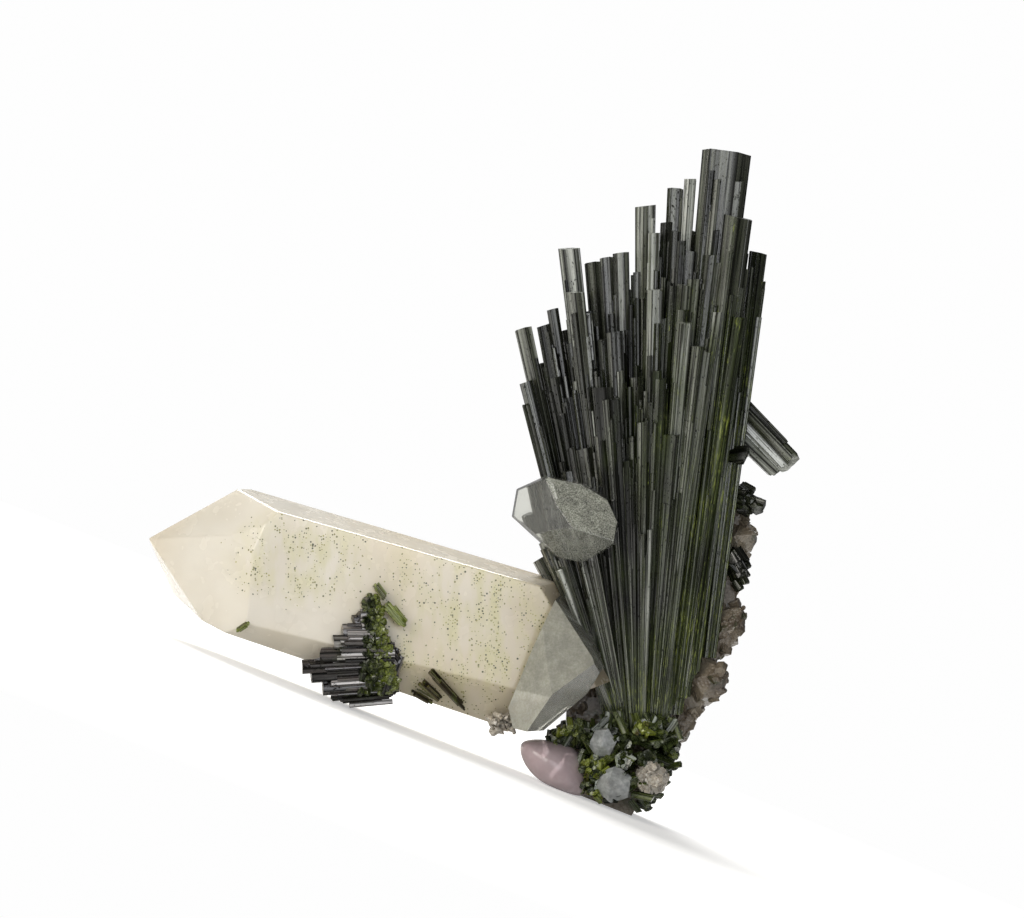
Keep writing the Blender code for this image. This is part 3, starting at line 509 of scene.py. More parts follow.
def stripedColumn(rng, size, strips, relief, middle=(0.0, 0.0), drop=0.0, chamfers=1, slope=0.3):
    # an uneven six-sided bar; each side is broken into flat strips, a little in or out
    corners = []
    for side in range(6):
        angle = (side + rng.uniform(-0.2, 0.2)) * math.tau / 6
        reach = rng.uniform(0.84, 1.02) * size / 2
        corners.append(Vector((math.cos(angle) * reach + middle[0], math.sin(angle) * reach + middle[1])))
    ring, seams = [], []
    for corner, following in zip(corners, corners[1:] + corners[:1]):
        edge = following - corner
        outward = Vector((edge.y, -edge.x)).normalized()
        marks = [0.0, *sorted(rng.uniform(0.08, 0.92) for _ in range(strips - 1)), 1.0]
        for start, end in zip(marks, marks[1:]):
            inset = rng.uniform(0.0, relief) * (3.0 if rng.random() < 0.15 else 1.0)
            for place in (start + (end - start) * 0.07, start + (end - start) * 0.93):
                inward = inset + rng.uniform(0.0, relief * 0.35)
                ring.append(corner + edge * place - outward * inward * size)
            seams += [float(start == 0.0), float(end == 1.0)] if strips > 1 else [0.0, 0.0]
    column = bmesh.new()
    seamLayer = column.verts.layers.float.new("seam")
    low = [column.verts.new((p.x, p.y, 0.0)) for p in ring]
    high = [column.verts.new((p.x, p.y, 12.0)) for p in ring]
    for vert, seam in zip(low + high, seams * 2):
        vert[seamLayer] = seam
    for i in range(len(ring)):
        j = (i + 1) % len(ring)
        column.faces.new((low[i], low[j], high[j], high[i]))
    column.faces.new(low[::-1])
    column.faces.new(high)
    turn = rng.uniform(0.0, math.tau)
    tilt = rng.uniform(0.05, slope)
    normal = Vector((math.cos(turn) * math.sin(tilt), math.sin(turn) * math.sin(tilt), math.cos(tilt)))
    cutTop(column, Vector((*middle, 12.0 - drop - size * 0.12)), normal)
    for _ in range(chamfers):
        turn = rng.uniform(0.0, math.tau)
        tilt = rng.uniform(0.7, 1.1)
        outward = Vector((math.cos(turn), math.sin(turn), 0.0))
        normal = outward * math.sin(tilt) + Vector((0.0, 0.0, math.cos(tilt)))
        edgePoint = Vector((*middle, 12.0 - drop)) + outward * size * rng.uniform(0.25, 0.42)
        cutTop(column, edgePoint, normal)
    return column


templateCount = 8  # on each shelf


def makeTemplates(name, seed, look):
    rng = random.Random(seed)
    shelf = bpy.data.collections.new(name)
    for number in range(templateCount):
        columns = [stripedColumn(rng, 1.0, look["strips"], look["relief"], chamfers=look["chamfers"],
                                 slope=look["slope"])]
        for _ in range(rng.randint(*look["laths"])):
            around = rng.uniform(0.0, math.tau)
            size = rng.uniform(0.2, 0.42)
            off = 0.5 - size * rng.uniform(0.3, 0.62)
            columns.append(stripedColumn(rng, size, 1, look["relief"] * 1.5,
                                         (math.cos(around) * off, math.sin(around) * off),
                                         rng.uniform(*look["drops"]), chamfers=0))
        shelf.objects.link(makeTemplate(f"{name}{number:02d}", columns))
    return shelf


def buildCrystalTree():
    tree = bpy.data.node_groups.new("crystalsOnPoints", "GeometryNodeTree")
    for label, kind in (("Geometry", "NodeSocketGeometry"), ("Templates", "NodeSocketCollection"),
                        ("Depth Against Width", "NodeSocketFloat"), ("Foot Width", "NodeSocketFloat"),
                        ("Seed", "NodeSocketInt"), ("Material", "NodeSocketMaterial")):
        tree.interface.new_socket(label, in_out="INPUT", socket_type=kind)
    tree.interface.new_socket("Geometry", in_out="OUTPUT", socket_type="NodeSocketGeometry")
    given = addNode(tree, "NodeGroupInput")
    axis, foot, shift, local, width, turn, drop, variant = [
        addNode(tree, "GeometryNodeInputNamedAttribute", {"data_type": kind, "Name": label})
        for kind, labels in (("FLOAT_VECTOR", ("axis", "foot", "shift", "local")),
                             ("FLOAT", ("width", "turn", "drop")), ("INT", ("variant",)))
        for label in labels]
    length = addNode(tree, "VectorMath", {"operation": "LENGTH", 0: axis})
    depth = addNode(tree, "Math", {"operation": "MULTIPLY", 0: width, 1: (given, "Depth Against Width")})
    scale = addNode(tree, "CombineXYZ", {0: width, 1: depth, 2: (length, "Value")})
    along = addNode(tree, "FunctionNodeAlignRotationToVector", {"axis": "Z", "Vector": axis})
    spin = addNode(tree, "FunctionNodeAxisAngleToRotation", {"Axis": (0.0, 0.0, 1.0), "Angle": turn})
    rotation = addNode(tree, "FunctionNodeRotateRotation", {"rotation_space": "LOCAL", 0: along, 1: spin})
    # what each crystal keeps once it is real: its foot, and a shift for its own lines
    kept = addNode(tree, "GeometryNodeStoreNamedAttribute", {
        "data_type": "FLOAT_VECTOR", "Name": "foot", "Geometry": (given, "Geometry"),
        "Value": addNode(tree, "GeometryNodeInputPosition")})
    shiftValue = addNode(tree, "FunctionNodeRandomValue", {
        "data_type": "FLOAT_VECTOR", 1: (90.0, 90.0, 90.0), "Seed": (given, "Seed")})
    shifted = addNode(tree, "GeometryNodeStoreNamedAttribute", {
        "data_type": "FLOAT_VECTOR", "Name": "shift", "Geometry": kept, "Value": shiftValue})
    shelf = addNode(tree, "GeometryNodeCollectionInfo", {
        "Separate Children": True, "Reset Children": True, "Collection": (given, "Templates")})
    stood = addNode(tree, "GeometryNodeInstanceOnPoints", {
        "Pick Instance": True, "Points": shifted, "Instance": shelf, "Instance Index": variant,
        "Rotation": rotation, "Scale": scale})
    real = addNode(tree, "GeometryNodeRealizeInstances", {"Geometry": stood})
    # narrower at the foot, and each strip's end at its own height
    parts = addNode(tree, "SeparateXYZ", {0: local})
    spine = addNode(tree, "VectorMath", {"operation": "MULTIPLY_ADD", 0: axis, 1: (parts, "Z"), 2: foot})
    offset = addNode(tree, "VectorMath", {
        "operation": "SUBTRACT", 0: addNode(tree, "GeometryNodeInputPosition"), 1: spine})
    taper = addNode(tree, "MapRange", {
        "To Max": 1.0, "Value": (parts, "Z"), "To Min": (given, "Foot Width")})
    narrowed = addNode(tree, "VectorMath", {"operation": "MULTIPLY_ADD", 0: offset, 1: taper, 2: spine})
    unit = addNode(tree, "VectorMath", {"operation": "NORMALIZE", 0: axis})
    dropSize = addNode(tree, "Math", {"operation": "MULTIPLY", 0: drop, 1: width})
    # no strip ends below its own foot
    most = addNode(tree, "Math", {"operation": "MULTIPLY", 1: 0.92, 0: (length, "Value")})
    dropMm = addNode(tree, "Math", {"operation": "MINIMUM", 0: dropSize, 1: most})
    back = addNode(tree, "VectorMath", {"operation": "SCALE", 0: unit, "Scale": dropMm})
    settled = addNode(tree, "VectorMath", {"operation": "SUBTRACT", 0: narrowed, 1: back})
    moved = addNode(tree, "GeometryNodeSetPosition", {"Geometry": real, "Position": settled})
    # a coordinate in mm that runs with each prism, for the lines of its material
    side, front, far = [addNode(tree, "Math", {"operation": "MULTIPLY", 0: (parts, letter), 1: size})
                        for letter, size in (("X", width), ("Y", depth), ("Z", (length, "Value")))]
    rise = addNode(tree, "Math", {"operation": "SUBTRACT", 0: far, 1: dropMm})
    own = addNode(tree, "CombineXYZ", {0: side, 1: front, 2: rise})
    grain = addNode(tree, "VectorMath", {"operation": "ADD", 0: own, 1: shift})
    marked = addNode(tree, "GeometryNodeStoreNamedAttribute", {
        "data_type": "FLOAT_VECTOR", "Name": "grain", "Geometry": moved, "Value": grain})
    dressed = addNode(tree, "GeometryNodeSetMaterial", {
        "Geometry": marked, "Material": (given, "Material")})
    addNode(tree, "NodeGroupOutput", {"Geometry": dressed})
    return tree


crystalTree = buildCrystalTree()


def cutSlivers(mesh, longest):
    # the same surface in lengths of a centimetre or so, which trace much faster than long slivers
    bm = bmesh.new()
    bm.from_mesh(mesh)
    for least, cuts in ((longest * 3, 5), (longest, 1)):
        slivers = [edge for edge in bm.edges if edge.calc_length() > least]
        bmesh.ops.subdivide_edges(bm, edges=slivers, cuts=cuts, use_grid_fill=True)
    bm.to_mesh(mesh)
    bm.free()


def growCrystals(name, crystals, shelf, material, depthShare, footShare, seed):
    # crystals: foot, tip, width, turn, variant and tone of each, in upright mm; depth of each
    # against its width, and width of its foot against its tip
    mesh = bpy.data.meshes.new(name)
    mesh.from_pydata([c["foot"] for c in crystals], [], [])
    for label, kind in (("axis", "FLOAT_VECTOR"), ("width", "FLOAT"), ("turn", "FLOAT"), ("variant", "INT"),
                        ("tone", "FLOAT")):
        layer = mesh.attributes.new(label, kind, "POINT")
        for item, crystal in zip(layer.data, crystals):
            if label == "axis":
                item.vector = crystal["tip"] - crystal["foot"]
            else:
                item.value = crystal[label]
    piece = bpy.data.objects.new(name, mesh)
    bpy.context.scene.collection.objects.link(piece)
    modifier = piece.modifiers.new("crystals", "NODES")
    modifier.node_group = crystalTree
    values = {"Templates": shelf, "Material": material, "Depth Against Width": depthShare,
              "Foot Width": footShare, "Seed": seed}
    for item in crystalTree.interface.items_tree:
        if item.in_out == "INPUT" and item.name in values:
            modifier[item.identifier] = values[item.name]
    bpy.context.view_layer.update()
    graph = bpy.context.evaluated_depsgraph_get()
    grown = bpy.data.meshes.new_from_object(piece.evaluated_get(graph))
    piece.modifiers.clear()
    piece.data = grown
    grown.transform(toRest)
    cutSlivers(grown, 0.014)
    for label in ("axis", "width", "turn", "variant", "foot", "shift", "local", "drop"):
        if label in grown.attributes:
            grown.attributes.remove(grown.attributes[label])
    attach(piece, "root")
    print(name, len(grown.polygons), "faces")
    return piece


def aboveFloor(crystals):
    return [c for c in crystals
            if min((toRest @ c[end]).z for end in ("foot", "tip")) > 0.62 * c["width"] * mm]


def crystalAt(rng, foot, tip, width, tone=None, turn=None):
    return {"foot": Vector(foot), "tip": Vector(tip), "width": width,
            "variant": rng.randrange(templateCount),
            "turn": rng.uniform(-0.45, 0.45) if turn is None else turn,
            "tone": rng.random() if tone is None else tone}


fanTemplates = makeTemplates("fanPrism", 31, {"strips": 4, "relief": 0.016, "chamfers": 1, "slope": 0.14,
                                              "laths": (1, 4), "drops": (0.3, 5.0)})
lathTemplates = makeTemplates("lath", 47, {"strips": 2, "relief": 0.04, "chamfers": 1, "slope": 0.3,
                                           "laths": (0, 2), "drops": (0.5, 6.0)})
stubTemplates = makeTemplates("stub", 59, {"strips": 2, "relief": 0.03, "chamfers": 2, "slope": 0.5,
                                           "laths": (0, 1), "drops": (0.1, 0.5)})

# The fan of epidote prisms

fan = {
    "origin": Vector((2.4, 1.5, 13.5)), "spread": 0.24, "depthSpread": 0.3, "footWidth": 0.55,
    "rightEdge": (15.0, 22.0), "rightSpread": 0.36, "rightRise": 12.0,
    # across, depth and height of the tip, and width
    "tall": [
        (16.6, -2.5, 107.0, 8.4), (18.2, -5.0, 96.3, 5.8), (21.7, 1.0, 90.5, 3.6), (10.6, 0.5, 102.3, 2.4),
        (8.3, 2.0, 100.8, 2.8), (3.4, 1.0, 98.2, 4.4), (4.7, -2.5, 93.4, 2.2), (6.7, -1.0, 95.2, 2.4),
        (8.1, -3.0, 93.7, 2.0), (9.1, -4.0, 92.1, 1.8), (-9.0, 0.0, 91.3, 4.2), (-5.3, -1.5, 88.8, 3.0),
        (-3.0, 0.5, 89.6, 2.4), (-0.6, -1.0, 90.4, 3.1), (-8.0, -4.5, 84.1, 3.8), (-16.5, -1.5, 78.2, 3.2),
        (-13.1, -1.5, 78.7, 2.6), (-11.6, 0.5, 81.3, 2.2), (4.8, -6.0, 84.4, 3.2), (7.5, -5.5, 84.8, 2.0),
        (9.3, -5.5, 85.1, 2.4), (-1.8, -6.0, 77.6, 3.1), (-3.5, -4.5, 76.4, 2.3), (8.6, -8.0, 74.8, 2.4),
        (13.8, -5.5, 89.8, 2.2), (-3.7, -9.0, 68.8, 3.8), (-2.0, -9.6, 66.8, 2.6), (5.6, -8.5, 70.0, 2.2),
        (-15.9, -3.5, 69.6, 2.6)],
    # tips whose prisms are paler than the rest, by height; partly painted sheen, as their tones reach
    # towards the pale end of the ramp
    "pale": {102.3: 1.5, 98.2: 1.05, 93.4: 1.1, 91.3: 1.05, 78.2: 1.0, 84.1: 1.0, 89.6: 0.95, 107.0: 0.66,
             96.3: 0.7},
    "shortFoot": Vector((-0.3, -0.5, 13.5)),
    "short": [
        (-14.0, -2.0, 41.1, 2.4), (-12.6, -4.5, 43.0, 2.4), (-10.6, -5.5, 44.0, 2.6),
        (-12.4, -0.5, 48.0, 2.4), (-9.2, -2.5, 47.0, 2.8), (-8.0, -6.5, 46.0, 2.6)],
    "tops": [(-16.0, 74.0), (-9.0, 86.0), (0.0, 87.0), (4.0, 92.0), (10.0, 97.0), (16.0, 100.0),
             (21.5, 86.0)],
    # depth, first and last place across, range below the tops, width
    "rows": [
        (6.0, -12.5, 19.5, (2.0, 10.0), (2.4, 4.2)), (3.0, -13.5, 20.0, (4.0, 12.0), (2.2, 4.0)),
        (0.5, -14.0, 20.0, (6.0, 16.0), (2.2, 3.8)), (-2.5, -13.5, 19.0, (10.0, 26.0), (2.0, 3.6)),
        (-5.0, -13.0, 18.5, (16.0, 36.0), (1.8, 3.4)), (-7.8, -10.5, 17.0, (24.0, 46.0), (1.6, 3.2))],
    "rowStep": 2.0,
    # depth of the front skin by how far up a prism ends
    "skin": [(0.0, -2.6), (0.2, -4.8), (0.4, -6.8), (0.65, -7.8), (0.85, -4.6), (1.0, -1.0)],
    "laths": 210, "lathWidth": (0.5, 1.4), "backLaths": 90, "seed": 11,
}


def betweenStops(stops, place):
    for (x0, y0), (x1, y1) in zip(stops, stops[1:]):
        if place <= x1:
            return y0 + (y1 - y0) * (place - x0) / (x1 - x0)
    return stops[-1][1]


def fanFoot(tip):
    share = min(max((tip.x - fan["rightEdge"][0]) / (fan["rightEdge"][1] - fan["rightEdge"][0]), 0.0), 1.0)
    origin = fan["origin"]
    return Vector((origin.x + (tip.x - origin.x) * (fan["spread"] + fan["rightSpread"] * share),
                   origin.y + (tip.y - origin.y) * fan["depthSpread"],
                   origin.z + fan["rightRise"] * share + 0.05 * tip.y))


def fanCrystals():
    rng = random.Random(fan["seed"])
    tall, laths = [], []
    for across, depth, height, width in fan["tall"]:
        tip = Vector((across, depth, height))
        foot = fanFoot(tip)
        tone = rng.uniform(0.1, 1.0)
        tall.append(crystalAt(rng, foot, tip, width, tone=fan["pale"].get(height, tone)))
        for _ in range(round(width * 1.6)):  # thin laths against its front and sides
            around = rng.uniform(math.pi * 0.95, math.pi * 2.05)
            beside = Vector((math.cos(around), math.sin(around), 0.0)) * width * 0.46
            end = foot + (tip - foot) * rng.uniform(0.55, 0.96)
            laths.append(crystalAt(rng, foot + beside * 0.55, end + beside * 0.9, rng.uniform(0.6, 1.5)))
    for across, depth, height, width in fan["short"]:
        start = fan["shortFoot"] + Vector([rng.uniform(-0.6, 0.6) for _ in range(3)])
        tip = Vector((across, depth, height))
        tall.append(crystalAt(rng, start, tip, width))
        for _ in range(4):
            beside = Vector((rng.uniform(-1.0, 1.0), rng.uniform(-1.2, 0.2), 0.0))
            laths.append(crystalAt(
                rng, start + beside * 0.6, start + (tip - start) * rng.uniform(0.8, 0.98) + beside,
                rng.uniform(0.7, 1.3)))
    for depth, first, last, below, widths in fan["rows"]:
        across = first
        while across <= last:
            reach = 1.25 - 0.024 * (across + 14.0)  # the left side is stepped lower than the right
            tip = Vector((across, depth + rng.uniform(-0.9, 0.9),
                          betweenStops(fan["tops"], across) - rng.uniform(*below) * reach))
            tall.append(crystalAt(rng, fanFoot(tip), tip, rng.uniform(*widths)))
            across += fan["rowStep"] * rng.uniform(0.7, 1.3)
    for number in range(fan["laths"] + fan["backLaths"]):
        across = rng.uniform(-15.0, 20.5)
        inFront = number < fan["laths"]
        share = 0.34 + 0.58 * rng.random() ** 0.75 if inFront else rng.uniform(0.6, 0.95)
        top = Vector((across, 0.0, betweenStops(fan["tops"], across)))
        foot = fanFoot(top)
        end = foot + (top - foot) * share
        round_ = 1.0 - 0.45 * ((across - 2.0) / 18.0) ** 2  # the skin falls back at both edges
        if inFront:
            end.y = betweenStops(fan["skin"], share) * round_ + rng.uniform(-0.5, 0.9)
            foot.y = fan["skin"][0][1] * round_
        else:
            end.y = 6.5 * round_ + rng.uniform(-1.0, 0.8)
            foot.y = 3.5
        laths.append(crystalAt(rng, foot, end, rng.uniform(*fan["lathWidth"])))
    return tall, laths


tallCrystals, lathCrystals = fanCrystals()
fanPiece = growCrystals("epidoteFan", tallCrystals, fanTemplates, blackEpidote, 0.85, fan["footWidth"], 3)
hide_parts("epidote_spray")
lathPiece = growCrystals("epidoteLaths", lathCrystals, lathTemplates, blackEpidote, 0.8, 0.6, 4)

# Epidote at the back right: a broken bundle that points down, a nub and rough lumps

rightSide = {
    "blades": [
        ((17.0, 3.0, 67.6), (27.6, 1.5, 56.4), 2.8), ((15.8, 3.6, 66.4), (26.4, 2.4, 55.2), 2.8),
        ((15.6, 4.0, 63.4), (24.8, 3.2, 54.6), 2.8), ((18.0, 4.8, 67.2), (27.0, 4.2, 56.8), 2.8),
        ((16.0, 5.4, 64.8), (24.0, 4.8, 55.8), 2.8), ((14.0, 4.0, 62.6), (19.6, 3.4, 57.0), 4.6)],
    # three corners of each lump, how deep it is, and the way its prisms run
    "lumps": [(((17.6, 53.6), (22.8, 50.4), (18.4, 46.4)), 2.2, (0.75, -0.3, -0.35)),
              (((16.2, 43.0), (20.4, 40.8), (18.6, 35.0)), 2.2, (0.5, -0.3, -0.7))],
    "lumpCrystals": 70, "nub": ((16.2, 1.0, 57.4), (20.0, -0.9, 57.9), 3.4), "seed": 21,
}


def rightSideCrystals():
    rng = random.Random(rightSide["seed"])
    crystals = []
    for start, end, width in rightSide["blades"]:
        start, end = Vector(start), Vector(end)
        # high tones put the blades at the pale end of the ramp: partly painted sheen
        crystals.append(crystalAt(rng, start, end, width, tone=rng.uniform(0.9, 1.5)))
        for _ in range(5):
            beside = Vector((rng.uniform(-1.0, 1.0), rng.uniform(-1.1, 1.1), rng.uniform(-1.0, 1.0)))
            crystals.append(crystalAt(
                rng, start + beside, start + (end - start) * rng.uniform(0.75, 0.99) + beside,
                rng.uniform(0.7, 1.3), tone=rng.uniform(0.4, 1.4)))
    for corners, depth, run in rightSide["lumps"]:
        for _ in range(rightSide["lumpCrystals"]):
            shares = [rng.random() ** 0.7 for _ in corners]
            x, z = [sum(s * c[i] for s, c in zip(shares, corners)) / sum(shares) for i in (0, 1)]
            way = Vector([w + rng.gauss(0.0, 0.16) for w in run]).normalized()
            start = Vector((x, 3.2 + rng.uniform(-depth, depth), z)) - way * 1.6
            crystals.append(crystalAt(
                rng, start, start + way * rng.uniform(1.6, 3.2), rng.uniform(1.0, 2.8),
                tone=rng.uniform(0.0, 0.4)))
    crystals.append(crystalAt(
        rng, *[Vector(end) for end in rightSide["nub"][:2]], rightSide["nub"][2], tone=0.1))
    return crystals


rightPiece = growCrystals(
    "epidoteRightSide", rightSideCrystals(), stubTemplates, bladeEpidote, 0.85, 1.0, 5)

# The foot: stubby crystals that crowd outwards all over the mass

foot = {
    "corners": [
        (-15.0, -3.0, 12.5), (-10.0, -5.5, 13.0), (-3.0, -5.5, 15.0), (5.0, -5.0, 15.5), (9.6, -2.5, 14.0),
        (6.4, -4.5, 7.0), (2.6, -5.5, 3.0), (-0.6, -5.5, -2.5), (-4.6, -5.0, -1.0), (-5.6, -3.0, 6.0),
        (-4.0, 3.4, 14.0), (9.0, 3.4, 12.0), (4.6, 3.4, 3.0), (-3.0, 3.4, -2.0), (2.0, 3.4, -3.0)],
    "crystals": 460, "width": (0.7, 1.7), "blockWidth": (2.4, 4.4), "blocks": 0.3,
    "reach": (0.4, 1.8), "right": 8.6, "seed": 5,
}


def hullMesh(corners):
    bm = bmesh.new()
    for corner in corners:
        bm.verts.new(corner)
    bmesh.ops.convex_hull(bm, input=bm.verts[:])
    bmesh.ops.delete(bm, geom=[v for v in bm.verts if not v.link_faces], context="VERTS")
    bmesh.ops.recalc_face_normals(bm, faces=bm.faces[:])
    bmesh.ops.triangulate(bm, faces=bm.faces[:])
    return bm


def pointsOver(bm, count, rng):
    # places and outward ways spread evenly over a triangle mesh
    areas = [face.calc_area() for face in bm.faces]
    for face in rng.choices(bm.faces[:], weights=areas, k=count):
        a, b = rng.random(), rng.random()
        if a + b > 1:
            a, b = 1 - a, 1 - b
        corners = [v.co for v in face.verts]
        yield corners[0] + (corners[1] - corners[0]) * a + (corners[2] - corners[0]) * b, face.normal.copy()


def footCrystals():
    rng = random.Random(foot["seed"])
    hull = hullMesh(foot["corners"])
    crystals = []
    for place, outward in pointsOver(hull, foot["crystals"], rng):
        if outward.y > 0.7:
            continue
        way = (outward + Vector([rng.gauss(0.0, 0.5) for _ in range(3)])).normalized()
        block = rng.random() < foot["blocks"] and way.y < -0.4
        width = rng.uniform(*foot["blockWidth" if block else "width"])
        tip = place + way * rng.uniform(*foot["reach"]) * (0.5 if block else 1.0)
        if tip.x > foot["right"]:
            continue
        crystals.append(crystalAt(rng, place - way * (1.0 + width), tip, width, turn=rng.uniform(0.0, 1.0)))
    hull.free()
    return aboveFloor(crystals)


def patchCrystals(patches, seed, widths):
    rng = random.Random(seed)
    crystals = []
    for middle, reach, count in patches:
        for _ in range(count):
            place = Vector([m + rng.uniform(-r, r) for m, r in zip(middle, reach)])
            way = Vector((rng.gauss(0.0, 0.6), -1.0, rng.gauss(0.1, 0.6))).normalized()
            width = rng.uniform(*widths)
            tip = place + way * rng.uniform(0.2, 1.0)
            crystals.append(crystalAt(
                rng, place - way * 1.4, tip, width, turn=rng.uniform(0.0, 1.0), tone=rng.uniform(0.5, 1.1)))
    return aboveFloor(crystals)


# middle, reach to each side and number of crystals
patches = [((-5.0, -6.0, 7.6), (1.5, 0.5, 1.5), 26), ((-5.4, -6.0, 3.4), (1.3, 0.5, 0.9), 14),
           ((-9.5, -6.0, 14.0), (1.6, 0.5, 1.2), 10), ((2.8, -5.9, 13.8), (1.2, 0.5, 1.0), 12)]
greenPatches = growCrystals("epidoteGreenPatches", patchCrystals(patches, 23, (0.5, 1.4)), stubTemplates,
                            sprigEpidote, 0.9, 1.0, 11)
footPiece = growCrystals("epidoteFoot", footCrystals(), stubTemplates, crustEpidote, 0.85, 1.0, 6)


# Bundle of prisms on the large quartz, and the small green prisms beside it

cluster = {
    "prisms": [
        ((-47.0, -12.4, 18.9), (-37.0, -11.6, 19.8), 3.0), ((-48.4, -13.0, 20.6), (-36.0, -12.2, 21.4), 3.0),
        ((-50.2, -13.6, 22.4), (-37.5, -13.0, 23.1), 2.8), ((-51.6, -14.4, 24.0), (-37.8, -13.8, 24.8), 2.8),
        ((-48.6, -15.2, 26.0), (-36.6, -14.6, 26.4), 3.0), ((-46.6, -15.8, 28.0), (-38.0, -15.0, 28.0), 3.0),
        ((-45.2, -15.8, 29.6), (-38.6, -15.2, 29.6), 3.0), ((-43.4, -15.6, 31.2), (-38.8, -14.8, 31.4), 2.8),
        ((-42.0, -15.4, 33.0), (-40.8, -14.8, 29.0), 2.4), ((-39.8, -15.2, 30.2), (-36.4, -13.8, 25.0), 2.8),
        ((-38.6, -13.4, 20.0), (-36.2, -13.2, 26.0), 3.2), ((-47.2, -10.6, 19.8), (-37.6, -10.2, 20.6), 4.2),
        ((-47.6, -8.4, 19.9), (-36.6, -8.2, 20.6), 4.2), ((-47.0, -6.2, 20.0), (-38.2, -6.0, 20.4), 4.2),
        ((-47.5, -4.0, 20.0), (-37.4, -4.0, 20.6), 4.2), ((-47.2, -1.8, 19.9), (-37.8, -1.9, 20.5), 4.2)],
    "moss": 420, "seed": 3,
    # how far forward the prisms reach, by height
    "front": [(19.0, -13.6), (22.0, -14.8), (24.0, -15.7), (26.0, -16.3), (28.0, -17.0), (31.0, -17.0),
              (33.0, -16.4), (35.5, -15.4)],
}


def clusterCrystals():
    rng = random.Random(cluster["seed"])
    crystals = []
    for left, right, width in cluster["prisms"]:
        left, right = Vector(left), Vector(right)
        crystals.append(crystalAt(rng, right, left, width * 0.96))
        for _ in range(6):
            beside = Vector((0.0, rng.uniform(-0.5, 0.2), rng.uniform(-0.45, 0.45))) * width
            crystals.append(crystalAt(
                rng, right + beside, left + beside + (right - left) * rng.uniform(0.02, 0.35),
                rng.uniform(0.6, 1.3)))
    for crystal in crystals:  # the lowest ones are lifted until they clear the floor
        ends = (crystal["foot"], crystal["tip"])
        under = 0.5 * crystal["width"] - min((toRest @ end).z for end in ends) / mm
        crystal["foot"], crystal["tip"] = [end + Vector((0.0, 0.0, max(under, 0.0))) for end in ends]
    return crystals


def mossCrystals():
    # a mossy felt of short green crystals over the bundle's right part
    rng = random.Random(cluster["seed"])
    crystals = []
    for _ in range(cluster["moss"]):
        up = rng.random()
        share = rng.random() ** 0.6
        left, right = -42.4 + 1.6 * up, -36.2 - 3.4 * up
        height = 20.0 + 15.0 * up
        depth = betweenStops(cluster["front"], height) + rng.uniform(-0.2, 0.6) + 0.8 * share
        place = Vector((left + (right - left) * share, depth, height))
        way = Vector((rng.gauss(0.3, 0.4) + share, -1.0, rng.gauss(0.2, 0.4))).normalized()
        crystals.append(crystalAt(
            rng, place - way * 1.6, place + way * rng.uniform(0.3, 1.3), rng.uniform(0.6, 1.6),
            turn=rng.uniform(0.0, 1.0), tone=0.1 + 0.9 * share))
    return crystals


def sprigCrystals():
    # each sprig is a sheaf of thin prisms along the solid it stands for
    rng = random.Random(cluster["seed"])
    crystals = []
    for name in sprigNodes:
        corners = [toUpright @ v.co for v in frame["nodes"][name].data.vertices]
        middle = sum(corners, Vector()) / len(corners)
        far = max(corners, key=lambda c: (c - middle).length)
        ends = [sum((c for c in corners if (c - middle).dot(far - middle) * side > 0.0), Vector())
                for side in (-1, 1)]
        ends = [end / (len(corners) / 2) for end in ends]
        width = 2.0 * min((c - end).length for end in ends for c in corners if (c - end).length > 0.1)
        for _ in range(12):
            beside = Vector([rng.uniform(-0.36, 0.36) * width for _ in range(3)])
            run = ends[1] - ends[0]
            crystals.append(crystalAt(
                rng, ends[0] + beside + run * rng.uniform(-0.05, 0.3),
                ends[1] + beside - run * rng.uniform(-0.05, 0.3), width * rng.uniform(0.25, 0.6),
                tone=rng.uniform(0.0, 0.3) if middle.z < 26.0 else rng.uniform(0.6, 1.0)))
    return crystals


sprigNodes = [name for name in frame["nodes"] if name.startswith("epidote_sprig")]
sprigPiece = growCrystals("epidoteSprigs", sprigCrystals(), lathTemplates, sprigEpidote, 0.9, 0.8, 8)
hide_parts(*sprigNodes)
mossPiece = growCrystals("epidoteMoss", mossCrystals(), stubTemplates, mossEpidote, 0.9, 1.0, 9)
clusterPiece = growCrystals("epidoteBundle", clusterCrystals(), lathTemplates, bundleEpidote, 0.85, 1.0, 7)
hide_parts("epidote_cluster")
print("epidote is grown")


# Quartz: copies of the solids with their sharp edges eased, so that each edge takes a fine light

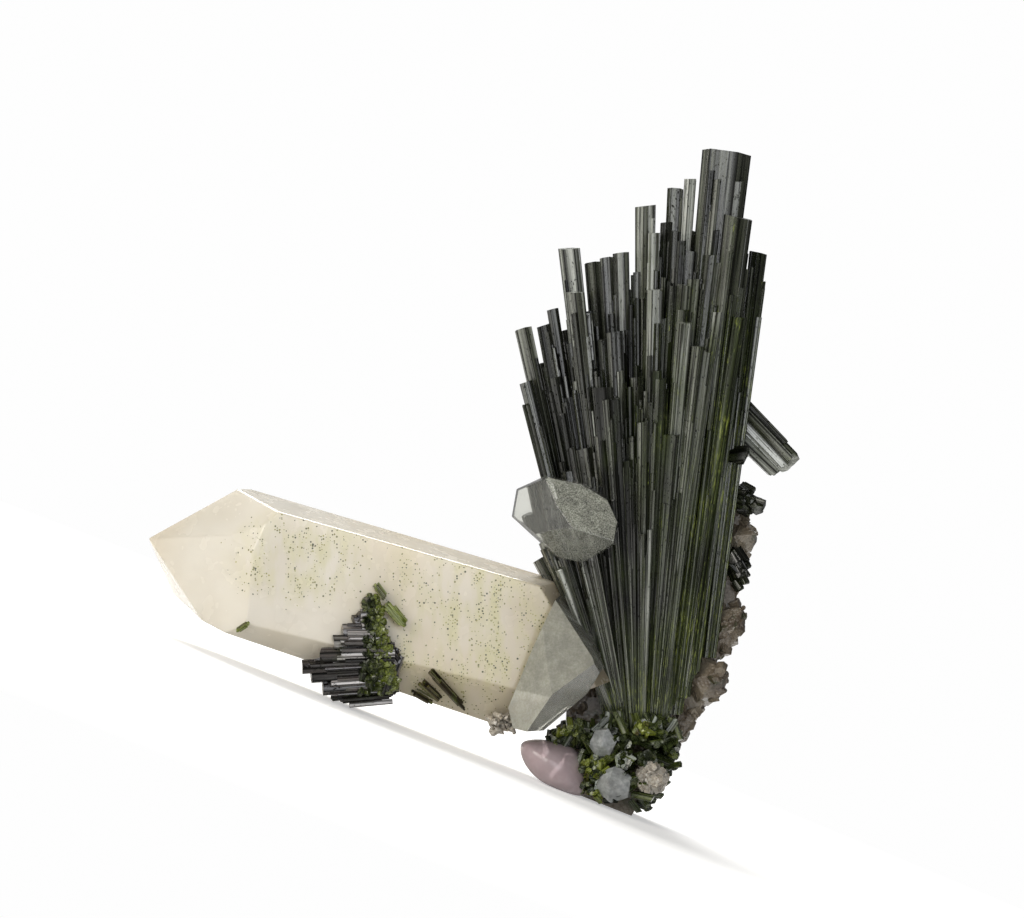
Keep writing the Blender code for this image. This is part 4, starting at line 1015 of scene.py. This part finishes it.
def easedCopy(name, node, width, dustOf=None):
    # no width: worn smooth all over
    mesh = frame["nodes"][node].data.copy()
    bm = bmesh.new()
    bm.from_mesh(mesh)
    bmesh.ops.remove_doubles(bm, verts=bm.verts[:], dist=2e-6)
    if not width:
        corners = [vert.co.copy() for vert in bm.verts]
        bm.free()
        bm = hullMesh(corners)
    bmesh.ops.dissolve_limit(bm, angle_limit=0.01 if width else 0.3, verts=bm.verts[:], edges=bm.edges[:])
    if width:
        bmesh.ops.bevel(bm, geom=bm.edges[:], offset=width * mm, segments=2, profile=0.6, affect="EDGES",
                        clamp_overlap=True)
    bmesh.ops.recalc_face_normals(bm, faces=bm.faces[:])
    for face in bm.faces:
        face.smooth = not width
    if dustOf:
        dust = bm.faces.layers.float.new("dust")
        for face in bm.faces:
            face[dust] = dustOf((toUpright.to_3x3() @ face.normal).normalized())
    mesh = bpy.data.meshes.new(name)
    bm.to_mesh(mesh)
    bm.free()
    piece = bpy.data.objects.new(name, mesh)
    bpy.context.scene.collection.objects.link(piece)
    if not width:
        worn = piece.modifiers.new("worn", "SUBSURF")
        worn.levels = 3
        bpy.context.view_layer.update()
        graph = bpy.context.evaluated_depsgraph_get()
        smooth = bpy.data.meshes.new_from_object(piece.evaluated_get(graph))
        piece.modifiers.clear()
        piece.data = smooth
        for axis in range(3):  # back to the solid's own size
            (low, high), (newLow, newHigh) = [
                [pick(v.co[axis] for v in shape.vertices) for pick in (min, max)]
                for shape in (mesh, smooth)]
            for vert in smooth.vertices:
                vert.co[axis] = low + (vert.co[axis] - newLow) * (high - low) / (newHigh - newLow)
    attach(piece, "root")
    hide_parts(node)
    return piece


def dressPiece(piece, material):
    piece.data.materials.clear()
    piece.data.materials.append(material)


def clearDust(way):
    if way.y < -0.5 and way.x > 0.0:
        return 0.9
    return 0.45 if way.z < -0.3 else 0.15


def frostedDust(way):
    return 0.5 if way.y < -0.5 and way.z > 0.0 else 0.25


dressPiece(easedCopy("milkyQuartzCrystal", "large_quartz", 0.22), milkyQuartz)
dressPiece(easedCopy("clearQuartzCrystal", "clear_quartz", 0.15, clearDust), clearQuartz)
dressPiece(easedCopy("frostedQuartzCrystal", "side_quartz", 0.18, frostedDust), frostedQuartz)
dressPiece(easedCopy("lilacQuartzCrystal", "lilac_quartz", 0.0, lambda way: 0.3), lilacQuartz)
for node in ("base_quartz_block", "base_quartz_upper"):
    copied = easedCopy(node.replace("base_quartz_", "footQuartz-"), node, 0.1, lambda way: 0.8)
    dressPiece(copied, paleQuartz)


def sugarCrystals(node, count, widths, reach):
    # a crust of small grains over the solid it stands for
    rng = random.Random(17)
    bm = bmesh.new()
    bm.from_mesh(frame["nodes"][node].data)
    bmesh.ops.transform(bm, matrix=toUpright, verts=bm.verts[:])
    bmesh.ops.triangulate(bm, faces=bm.faces[:])
    crystals = []
    for place, outward in pointsOver(bm, count, rng):
        way = (outward + Vector([rng.gauss(0.0, 0.5) for _ in range(3)])).normalized()
        width = rng.uniform(*widths)
        tip = place + way * rng.uniform(0.0, reach)
        crystals.append(crystalAt(
            rng, place - way * 1.5, tip, width, turn=rng.uniform(0.0, 1.0), tone=rng.uniform(0.3, 1.0)))
    bm.free()
    return aboveFloor(crystals)


sugar = sugarCrystals("base_quartz_sugary", 160, (0.7, 1.8), 0.5)
sugar += patchCrystals([((-19.6, -7.6, 14.9), (1.8, 1.2, 1.3), 50)], 29, (0.4, 1.0))
sugarPiece = growCrystals("sugaryQuartzCrust", sugar, stubTemplates, sugaryQuartz, 0.95, 1.0, 10)
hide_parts("base_quartz_sugary")
dressPiece(easedCopy("smokyQuartzMass", "matrix_quartz", 0.2), smokyQuartz)
drusePiece = growCrystals(
    "smokyQuartzDruse", sugarCrystals("matrix_quartz", 900, (0.8, 2.8), 0.8), stubTemplates, smokyQuartz,
    0.95, 1.0, 12)
print("quartz is dressed")

for shelf in (fanTemplates, lathTemplates, stubTemplates):
    for template in list(shelf.objects):
        bpy.data.objects.remove(template)
    bpy.data.collections.remove(shelf)
